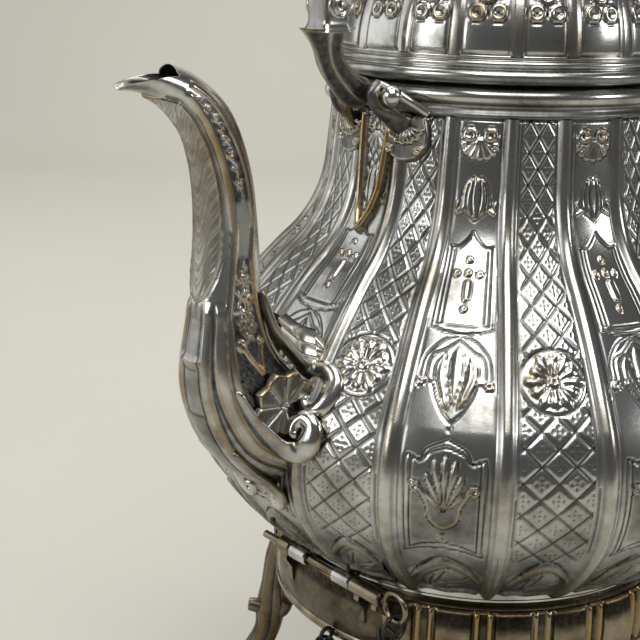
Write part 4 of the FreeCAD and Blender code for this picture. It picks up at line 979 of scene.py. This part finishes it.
def shield(art):
    """Shield with a fan of petals and two ears."""
    x, y = art.x, art.y - 151.5
    low = np.where(y < 0, y / 6.6, y / 12.0)
    edge = 1.0 - np.hypot(x / 7.4, low)
    for turn in np.linspace(-1.15, 1.15, 9):
        tip = np.array((5.0 * math.sin(turn), 156.0 - 5.4 * math.cos(turn)))
        wide = np.array((0.62 * math.cos(turn), 0.62 * math.sin(turn)))
        middle = np.array((0, 156.0)) * 0.3 + tip * 0.7
        art.pad(smooth_line([np.array((0, 155.6)), middle - wide, tip, middle + wide], 4), 0.9, 0.6, 0.3)
    turn = np.linspace(-1.3, 1.3, 25)
    scallop = 5.6 + 0.25 * np.cos(turn * 16.0)
    art.ridge(np.stack([scallop * np.sin(turn), 156.0 - scallop * np.cos(turn)], 1), 0.5, 0.9)
    for sign in (-1, 1):
        across, up = spiral(1.5, 3.6, 4.4, 40)
        art.ridge(np.stack([sign * (4.6 + across), 148.6 + up], 1), 0.42, 0.8)
    art.darken(0.7 * (1 - ease(art.height * 3)))
    rim = close(edge - 0.12, 0.09)
    art.height += 0.6 * rim
    art.black *= 1 - rim
    art.wear(0.5 * rim)
    return np.clip(edge * 5.0, 0, 1)


def tongue(art):
    """Latticed tongue that hangs from a lug."""
    wide = np.interp(art.y, (122.0, 124.0, 129.0, 136.0, 148.0, 157.0), (0.0, 1.5, 3.4, 4.8, 5.8, 6.4))
    edge = wide - np.abs(art.x)
    rim = dome((edge - 1.2) / 1.25)
    field = ease((edge - 2.2) / 0.4)
    a, b = art.x / 2.6 + art.y / 4.2, art.x / 2.6 - art.y / 4.2
    line = np.minimum(np.abs(a - np.round(a)), np.abs(b - np.round(b))) * 2.2
    art.darken((0.25 + 0.65 * ease(1.0 - line / 0.5)) * field)
    art.wear(rim)
    art.height += 2.2 * rim - 0.3 * ease(1.0 - line / 0.6) * field
    return np.clip(edge / 0.3, 0, 1)


class POT_OT_handle(bpy.types.Operator):
    """Fluted arms under square bows, with the lugs, shields and tongues that carry them"""
    bl_idname = "pot.handle"
    bl_label = "Handle"

    def execute(self, context):
        for name, turn in (("front", 1.0), ("rear", -1.0)):
            around = np.diag((turn, turn, 1.0))
            plate(f"handle_arm_leaf_{name}", 108, 100, moved(fluted_arm, around),
                  [f"handle_cup_{name}", f"handle_arm_{name}"])
            plate(f"handle_bow_bar_{name}", 48, 140, moved(square_bow, around), [f"handle_bow_{name}"])

        for name, middle in (("front", 0.0), ("rear", math.pi)):
            for side in ("left", "right"):
                node = f"handle_lug_{name}_{side}"
                flip = [-side_of(node, axis) for axis in (0, 1)]
                mirror = np.diag(flip + [1.0])
                plate(f"lug_bracket_{name}_{side}", 48, 80, moved(bracket, mirror), [node])
                plate(f"lug_brace_{name}_{side}", 24, 60, moved(brace, mirror))
                plate(f"bow_volute_{name}_{side}", 20, 150, moved(volute, mirror))
                spot = -flip[0] * flip[1] * math.radians(12.3)
                applique(f"handle_shield_{name}_{side}", middle + spot, 143.5, 157.4, 8.0, shield, 2.8)
            applique(f"handle_tongue_{name}", middle, 121.0, 157.0, 6.6, tongue, 0.9, 70, 120)
        return {"FINISHED"}


# Gallery band: lower and upper edge and radius; then a leg like the spout's path, and its bud, in mm.
GALLERY_LOW, GALLERY_HIGH, GALLERY_OUT = 88.6, 107.3, 66.0
LEG = [(66.4, 95.0, -90, 4.4, 3.0), (68.2, 86.0, -84, 4.6, 3.7), (69.4, 76.0, -86, 4.4, 3.8),
       (70.0, 67.0, -90, 4.8, 4.8), (71.2, 58.0, -76, 4.6, 4.4), (75.6, 48.0, -70, 4.6, 4.6),
       (78.4, 37.0, -80, 4.4, 4.6), (81.6, 25.0, -66, 4.2, 4.5), (88.0, 14.5, -48, 4.4, 4.7),
       (95.0, 6.0, -90, 5.0, 5.2), (95.0, 4.0, -90, 5.0, 5.2)]
BUD = [(-64.0, 0.0, 70.4), (-66.4, 0.0, 66.6), (-70.4, 0.0, 66.0),
       (-74.0, 0.0, 66.9), (-78.2, 0.0, 67.4)]


def gallery(u, v):
    """Band of swelling panels between paired ribs, with a beaded upper edge."""
    angle = (u * 2.0 - 1.0) * math.pi
    z = GALLERY_LOW + (GALLERY_HIGH - GALLERY_LOW) * v
    step = math.radians(15.0)
    far = np.abs((angle + step / 2) % step - step / 2) * GALLERY_OUT
    ribbed = np.abs(np.sin(angle)) > 0.42
    rib = np.sqrt(np.clip(1.0 - (np.abs(far - 1.95) / 0.8) ** 4, 0, 1)) * ribbed
    swell = dome(2.0 * v - 1.0)
    panel = ease((far - 3.0) / 0.9) * ribbed + (~ribbed)
    lift = 0.25 + 2.6 * swell * panel
    lift = np.maximum(lift, (1.0 + 1.3 * swell) * rib * ease(v / 0.05) * ease((1 - v) / 0.05))
    edge = close(v - 0.97, 0.03)
    bead = 0.75 + 0.25 * np.cos(angle * 120.0)
    lift = np.maximum(lift, 1.1 * edge * bead)
    # Painted shade: the upper part of every panel, under the pot, and the lower part of the band are
    # darkened. The lines beside and between the ribs are black in the recesses; a dark line runs under the
    # beads, and the plain part of the band is darker all over.
    black = np.maximum(0.8 * close(far - 3.1, 0.5), 0.6 * (far < 1.0)) * ribbed
    black = np.maximum(black, np.maximum(0.85 * ease((v - 0.6) / 0.18), 0.55 * (~ribbed))) * (1 - edge)
    black = np.maximum(black, np.maximum(0.8 * close(v - 0.9, 0.03), 0.85 * ease(1.0 - v / 0.3)))
    lift = lift * ease(v / 0.03)
    r = GALLERY_OUT + lift
    points = np.stack([r * np.cos(angle), r * np.sin(angle), z], 1)
    return points, black * (1 - rib), np.maximum(0.75 * rib, edge * bead)


def leg(u, v):
    """Fluted scroll leg."""
    turn = (u * 2.0 - 1.0) * math.pi
    flute = np.abs(np.cos(turn * 2.5 + 0.4))
    wave = 0.5 + 0.5 * np.cos(v * 7.0 * math.pi)
    grow = 0.7 * np.sqrt(flute) - 0.45 + 0.35 * wave * flute
    shrink = np.sqrt(np.clip(np.minimum(v, 1.0 - v) / 0.02, 0, 1))
    points = tube_point(LEG, v, turn, grow, shrink)
    return points, np.maximum(0.45, ease(0.8 - flute * 2.2)), 0.6 * ease(flute * 4 - 3)


def bud(u, v):
    """Bud that grows from a leg."""
    made, _ = swept(BUD, (3.6, 4.0, 3.6, 2.8, 2.0), (2.6, 3.4, 3.4, 2.8, 2.2), u, v)
    return made, 0.5 - 0.3 * ease(v * 4 - 3), 0.7 * ease(v * 8 - 7)


class POT_OT_stand(bpy.types.Operator):
    """Gallery ring with swelling panels between paired ribs, and the scroll legs with their buds"""
    bl_idname = "pot.stand"
    bl_label = "Gallery and Legs"

    def execute(self, context):
        bronze = {"slot": "worn_plate", "body": "stand"}
        plate("gallery_band", 840, 30, gallery, **bronze)

        for corner in ("front_left", "front_right", "rear_left", "rear_right"):
            middle = sum(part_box(f"leg_{corner}"), Vector())
            spin = np.array(Matrix.Rotation(math.atan2(middle.y, middle.x) - math.pi, 3, "Z"))
            plate(f"leg_scroll_{corner}", 80, 170, moved(leg, spin), [f"leg_{corner}"], **bronze)
            plate(f"leg_bud_{corner}", 40, 60, moved(bud, spin), **bronze)
        return {"FINISHED"}


def spool(bm, start, stop, sign):
    """A bored barrel between two places on the hinge axis; sign is its side of the pot."""
    line = [(BORE, start), (BARREL - 0.4, start), (BARREL, start + 0.4), (BARREL, stop - 0.4),
            (BARREL - 0.4, stop), (BORE, stop)]
    ring = [bm.verts.new(Vector((sign * HINGE_OUT + r, y, HINGE_UP)) * MM) for r, y in line]
    edges = [bm.edges.new(pair) for pair in zip(ring, ring[1:] + ring[:1])]
    bmesh.ops.spin(bm, geom=ring + edges, axis=(0, 1, 0), cent=Vector((sign * HINGE_OUT, 0, HINGE_UP)) * MM,
                   dvec=(0, 0, 0), angle=2 * math.pi, steps=40, use_merge=True)


def strap(bm, points, wide, thick):
    """A flat bar bent along a line of points, closed at both ends only."""
    here, *rest = [Vector(point) * MM for point in points]
    face = bm.faces.new([bm.verts.new(here + Vector((x * thick, y * wide, 0.0)) * MM)
                         for x, y in ((-0.5, -0.5), (0.5, -0.5), (0.5, 0.5), (-0.5, 0.5))])
    for index, there in enumerate(rest):
        made = bmesh.ops.extrude_face_region(bm, geom=[face])["geom"]
        if index:
            bm.faces.remove(face)
        face = next(item for item in made if isinstance(item, bmesh.types.BMFace))
        bmesh.ops.translate(bm, verts=face.verts, vec=there - here)
        here = there


def hinge(name, body, node, build):
    """One half of a hinge, with crisp edges."""
    def whole(bm):
        build(bm)
        bmesh.ops.recalc_face_normals(bm, faces=bm.faces)

    piece = new_mesh(name, whole)
    dress(piece, body, SLOTS[node], [node])
    piece.data.set_sharp_from_angle(angle=math.radians(35.0))


class POT_OT_hinges(bpy.types.Operator):
    """Short hinge barrels of the pot between those of the stand, which hang on narrow straps"""
    bl_idname = "pot.hinges"
    bl_label = "Hinges"

    def execute(self, context):
        # The ends of the barrels from the middle outwards: of the pot's and of the stand's, in mm.
        for side, sign, node, start, inside, stop in (
                ("front", -1.0, "kettle_knuckle_front", 6.4, 13.9, 27.0),
                ("rear", 1.0, "kettle_lug_rear", 2.6, 8.2, 21.0)):
            def pot_half(bm):
                for way in (-1.0, 1.0):
                    spool(bm, *sorted((start * way, inside * way)), sign)
                    middle = (start + inside) / 2 * way
                    line = ((2.2, 1.0), (3.2, 1.6), (6.4, 2.2))
                    strap(bm, [(sign * (HINGE_OUT - inwards), middle, HINGE_UP + rise)
                               for inwards, rise in line], inside - start - 1.0, 1.4)

            hinge(f"pot_hinge_{side}", "kettle", node, pot_half)
            for half in ("a", "b"):
                node = f"stand_knuckle_{side}_{half}"
                way = side_of(node, 1)
                # In the photograph, the barrel on the far side of the front hinge is shorter.
                short = side == "front" and way > 0
                reach = 20.0 if short else stop

                def stand_half(bm):
                    spool(bm, *sorted(((inside + 0.4) * way, reach * way)), sign)
                    for spot in (inside + 3.0,) if short else (inside + 3.0, reach - 2.6):
                        wall = math.sqrt(RING_OUT ** 2 - spot ** 2)
                        line = ((HINGE_OUT - 0.2, 1.6), (HINGE_OUT + 0.2, 4.0), (wall + 2.6, 7.4),
                                (wall + 2.2, 11.6), (wall + 1.8, 12.6))
                        strap(bm, [(sign * out, spot * way, HINGE_UP - fall) for out, fall in line], 2.0, 2.2)

                hinge(f"stand_hinge_{side}_{half}", "stand", node, stand_half)
        return {"FINISHED"}


def link(bm, radius, facing, spot):
    """A wire ring round a spot."""
    made = bmesh.ops.create_circle(bm, segments=12, radius=WIRE * MM)
    bmesh.ops.rotate(bm, verts=made["verts"], matrix=Matrix.Rotation(math.pi / 2, 3, "X"))
    bmesh.ops.translate(bm, verts=made["verts"], vec=(radius * MM, 0, 0))
    edges = list({e for v in made["verts"] for e in v.link_edges})
    bmesh.ops.spin(bm, geom=made["verts"] + edges, axis=(0, 0, 1), cent=(0, 0, 0),
                   dvec=(0, 0, 0), angle=2 * math.pi, steps=40, use_merge=True)
    fresh = [v for v in bm.verts if not v.tag]
    tilt = Vector((0.0, 0.0, 1.0)).rotation_difference(facing).to_matrix()
    bmesh.ops.rotate(bm, verts=fresh, matrix=tilt)
    bmesh.ops.translate(bm, verts=fresh, vec=spot * MM)
    for vert in bm.verts:
        vert.tag = True


class POT_OT_chains(bpy.types.Operator):
    """Slack chains of wire rings between the loop pins and their eyes on the stand"""
    bl_idname = "pot.chains"
    bl_label = "Pin Chains"

    def execute(self, context):
        for name, sign, drawn, sag in (("front", -1.0, 32.2, 9.0), ("rear", 1.0, 57.2, 6.0)):
            # From the underside of the pin's loop to the eye on the stand, in mm.
            start = np.array((HINGE_OUT * sign, -drawn, 104.3))
            stop = np.array((70.2 * sign, -4.0, 84.6))
            shares = np.linspace(0.0, 1.0, 240)
            path = start + (stop - start) * shares[:, None]
            path[:, 2] -= sag * 4.0 * shares * (1.0 - shares)
            run = np.concatenate([[0.0], np.cumsum(np.linalg.norm(np.diff(path, axis=0), axis=1))])
            first = 6.0
            count = math.ceil((run[-1] - first) / LINK_PITCH) + 1
            stations = np.concatenate([[0.0], np.linspace(first, run[-1], count)])

            def spot_at(station):
                return Vector([np.interp(station, run, column) for column in path.T])

            def build(bm):
                # The ring on the pin's loop faces along the pin; the others turn a quarter each time.
                link(bm, LOOP_LINK, Vector((0.0, 1.0, 0.0)), spot_at(0.0) - Vector((0.0, 0.0, 1.2)))
                for index, station in enumerate(stations[1:]):
                    facing = Vector((1.0, 0.0, 0.0))
                    if index % 2:
                        ahead = spot_at(station + 1.0) - spot_at(station - 1.0)
                        facing = ahead.cross(facing).normalized()
                    link(bm, LINK, facing, spot_at(station))
                bmesh.ops.recalc_face_normals(bm, faces=bm.faces)

            piece = new_mesh(f"{name}_pin_chain", build)
            piece.data.materials.append(bpy.data.materials[FINISHES["steel_wire"]])
            piece.data.shade_smooth()
            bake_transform(piece)
            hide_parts(f"{name}_chain")
        return {"FINISHED"}


class POT_OT_finishes(bpy.types.Operator):
    """Make the finishes and give every piece of the frame its own"""
    bl_idname = "pot.finishes"
    bl_label = "Finishes"

    def execute(self, context):
        hues = context.scene.pot_colours
        tone = {key: tuple(getattr(hues, key)) + (1.0,) for key in hues.__annotations__}
        slots = {
            # Electroplated silver, grey and mirror-like on top, sulphide black in the chasing; this black
            # also carries the painted shade of the lower belly and the rib flanks.
            "silver_plate": plated(FINISHES["silver_plate"], tone["silver"], tone["tarnish"],
                                   tone["sulphide"], tone["gilt"], 0.17),
            # Plate rubbed through to a bronze-brown base metal, with gold edges; its black also carries the
            # painted shade at the top and bottom of the gallery band.
            "worn_plate": plated(FINISHES["worn_plate"], tone["bronze"], tone["bronze_dull"],
                                 tone["sulphide"], tone["gilt"], 0.18, 90.0),
            # Unplated brass of the hinge and burner, dulled by handling and heat.
            "brass": plated(FINISHES["brass"], tone["brass"], tone["bronze"], tone["sulphide"],
                            tone["gilt"], 0.3, 110.0),
            # Iron wire, nearly black, with a thin shine along the bends.
            "steel_wire": plated(FINISHES["steel_wire"], tone["iron"], tone["sulphide"], tone["sulphide"],
                                 tone["bronze"], 0.32, 300.0),
            # Bone washers that keep the heat from the grip, cream with brown streaks.
            "bone": soft_solid(FINISHES["bone"], tone["bone"], tone["bone_stain"], 0.34, 160.0, (1, 1, 6)),
            # Twisted cotton of the wick, pale with scorched strands.
            "cotton": soft_solid(FINISHES["cotton"], tone["cotton"], tone["bone_stain"], 0.85, 900.0,
                                 (1, 1, 0.2)),
        }
        for node, slot in SLOTS.items():
            materials = frame["nodes"][node].data.materials
            materials.clear()
            materials.append(slots[slot])
        return {"FINISHED"}


class POT_OT_stage(bpy.types.Operator):
    """Pale floor and backdrop, soft lamps and the camera"""
    bl_idname = "pot.stage"
    bl_label = "Stage"

    def execute(self, context):
        scene = context.scene
        hues = scene.pot_colours

        def sweep(bm):
            front = [bm.verts.new(spot) for spot in ((-3.0, -3.0, 0.0), (3.0, -3.0, 0.0))]
            edge = bm.edges.new(front)
            made = bmesh.ops.extrude_edge_only(bm, edges=[edge])["geom"]
            ends = [item for item in made if isinstance(item, bmesh.types.BMVert)]
            bmesh.ops.translate(bm, verts=ends, vec=(0, 4.4, 0))
            edge = [item for item in made if isinstance(item, bmesh.types.BMEdge)
                    and all(v in ends for v in item.verts)]
            made = bmesh.ops.spin(bm, geom=ends + edge, axis=(1, 0, 0), cent=(0, 1.4, 0.5), dvec=(0, 0, 0),
                                  angle=math.pi / 2, steps=24)["geom_last"]
            ends = [item for item in made if isinstance(item, bmesh.types.BMVert)]
            edge = [item for item in made if isinstance(item, bmesh.types.BMEdge)]
            up = bmesh.ops.extrude_edge_only(bm, edges=edge)["geom"]
            bmesh.ops.translate(bm, verts=[i for i in up if isinstance(i, bmesh.types.BMVert)],
                                vec=(0, 0, 2.0))
            turn = Matrix.Rotation(math.radians(-41.0), 3, "Z")
            bmesh.ops.rotate(bm, verts=bm.verts, cent=(0, 0, 0), matrix=turn)
            bmesh.ops.recalc_face_normals(bm, faces=bm.faces)

        floor = new_mesh("studio_sweep", sweep)
        floor.data.shade_smooth()
        material, tree, shader = new_finish("pale studio paper")
        where = add(tree, "ShaderNodeTexCoord").outputs["Object"]
        fibre = add(tree, "ShaderNodeTexNoise", {"Vector": where, "Scale": 3.0, "Detail": 3.0})
        tone = add(tree, "ShaderNodeMix", {
            "Factor": fibre.outputs["Fac"], "A": tuple(hues.paper) + (1.0,),
            "B": tuple(hues.paper_shade) + (1.0,)}, data_type="RGBA")
        tree.links.new(tone.outputs["Result"], shader.inputs["Base Color"])
        shader.inputs["Roughness"].default_value = 0.9
        floor.data.materials.append(material)

        for name, spot, size, power, aim in (
                ("overhead_box", (-0.35, -0.45, 1.25), 0.9, 11.0, (0.0, 0.0, 0.2)),
                ("left_box", (-1.3, 0.15, 0.65), 0.6, 4.0, (0.0, 0.0, 0.2)),
                ("right_box", (0.6, -1.2, 0.7), 0.35, 3.0, (0.0, 0.0, 0.18)),
                ("left_fill", (-1.1, 1.25, 0.7), 1.5, 7.0, (0.0, 0.0, 0.2)),
                ("backdrop_wash", (0.5, 0.55, 1.7), 1.4, 27.0, (1.0, 1.15, 0.25))):
            lamp = bpy.data.lights.new(name, "AREA")
            lamp.shape = "SQUARE"
            lamp.size = size
            lamp.energy = power
            obj = bpy.data.objects.new(name, lamp)
            obj.location = spot
            obj.rotation_euler = (Vector(aim) - Vector(spot)).to_track_quat("-Z", "Y").to_euler()
            scene.collection.objects.link(obj)
        world = bpy.data.worlds.new("studio_room")
        world.use_nodes = True
        world.node_tree.nodes["Background"].inputs["Color"].default_value = (0.1, 0.1, 0.105, 1.0)
        world.node_tree.nodes["Background"].inputs["Strength"].default_value = 1.0
        scene.world = world

        # The camera that was fitted to the photograph's turned lines and spout.
        camera = bpy.data.cameras.new("photo_view")
        camera.lens = 67.19
        camera.sensor_width = 36.0
        camera.dof.use_dof = False
        ahead = Vector((0.6312, 0.7229, -0.2812)).normalized()
        right = Vector((0.7532, -0.6577, 0.0)).normalized()
        up = right.cross(ahead)
        roll = 0.021436
        across = right * math.cos(roll) + up * math.sin(roll)
        upright = up * math.cos(roll) - right * math.sin(roll)
        obj = bpy.data.objects.new("photo_view", camera)
        turn = Matrix((across, upright, -ahead)).transposed().to_4x4()
        obj.matrix_world = Matrix.Translation(Vector((-0.2897, -0.2492, 0.2866))) @ turn
        scene.collection.objects.link(obj)
        scene.camera = obj
        scene.view_settings.view_transform = "Standard"
        return {"FINISHED"}


def tint(label, code, note):
    """A colour setting."""
    return bpy.props.FloatVectorProperty(name=label, description=note, subtype="COLOR", size=3,
                                         min=0.0, max=1.0, default=colour(code))


class PotSizes(bpy.types.PropertyGroup):
    """Sizes of the chased work"""
    skin: bpy.props.FloatProperty(
        name="Skin", description="How far the chased skin stands off the turned wall",
        default=0.6 * MM, unit="LENGTH")
    relief: bpy.props.FloatProperty(
        name="Relief", description="Share of the full depth of the chasing", default=1.25, min=0.0, max=1.5,
        subtype="FACTOR")
    lattice_pitch: bpy.props.FloatProperty(
        name="Lattice pitch", description="Height of a lattice diamond", default=8.8 * MM, unit="LENGTH")


class PotColours(bpy.types.PropertyGroup):
    """Colours of the finishes and the stage"""
    silver: tint("Silver", "#D0D0CC", "Rubbed silver plate")
    tarnish: tint("Tarnish", "#75736A", "Clouded silver plate")
    # The black of the recesses, also used for the painted shade of the lower belly, the rib flanks and the
    # gallery band.
    sulphide: tint("Sulphide", "#0E0E0D", "Black in the recesses")
    gilt: tint("Bare edge", "#A58A58", "Base metal on worn edges")
    bronze: tint("Bronze", "#948A76", "Plate worn on the stand")
    bronze_dull: tint("Dull bronze", "#574C3B", "Brown patches of the stand")
    brass: tint("Brass", "#A98A4E", "Unplated brass")
    iron: tint("Iron", "#4B4945", "Chain wire")
    bone: tint("Bone", "#E0D6BE", "Insulating washers")
    bone_stain: tint("Stain", "#8C7551", "Streaks in bone and wick")
    cotton: tint("Cotton", "#DDD5C2", "Wick")
    paper: tint("Paper", "#C3C0B6", "Studio floor and backdrop")
    paper_shade: tint("Paper shade", "#BCB9AE", "Faint clouds in the paper")


class POT_PT_dresser(bpy.types.Panel):
    """Sizes, colours and the steps of the dressed pot"""
    bl_idname = "POT_PT_dresser"
    bl_label = "Tilting Pot"
    bl_space_type = "VIEW_3D"
    bl_region_type = "UI"
    bl_category = "Pot"

    def draw(self, context):
        for group in (context.scene.pot_sizes, context.scene.pot_colours):
            box = self.layout.box()
            for key in group.__annotations__:
                box.prop(group, key)
        for step in STEPS:
            self.layout.operator(step.bl_idname)


STEPS = (POT_OT_finishes, POT_OT_body, POT_OT_lid, POT_OT_mouldings, POT_OT_spout, POT_OT_root, POT_OT_handle,
         POT_OT_stand, POT_OT_hinges, POT_OT_chains, POT_OT_stage)
CLASSES = (PotSizes, PotColours) + STEPS + (POT_PT_dresser,)


def register():
    for item in CLASSES:
        bpy.utils.register_class(item)
    bpy.types.Scene.pot_sizes = bpy.props.PointerProperty(type=PotSizes)
    bpy.types.Scene.pot_colours = bpy.props.PointerProperty(type=PotColours)


def unregister():
    del bpy.types.Scene.pot_sizes
    del bpy.types.Scene.pot_colours
    for item in reversed(CLASSES):
        bpy.utils.unregister_class(item)


def main():
    register()
    for step in STEPS:
        group, name = step.bl_idname.split(".")
        getattr(getattr(bpy.ops, group), name)()


if __name__ == "__main__":
    main()
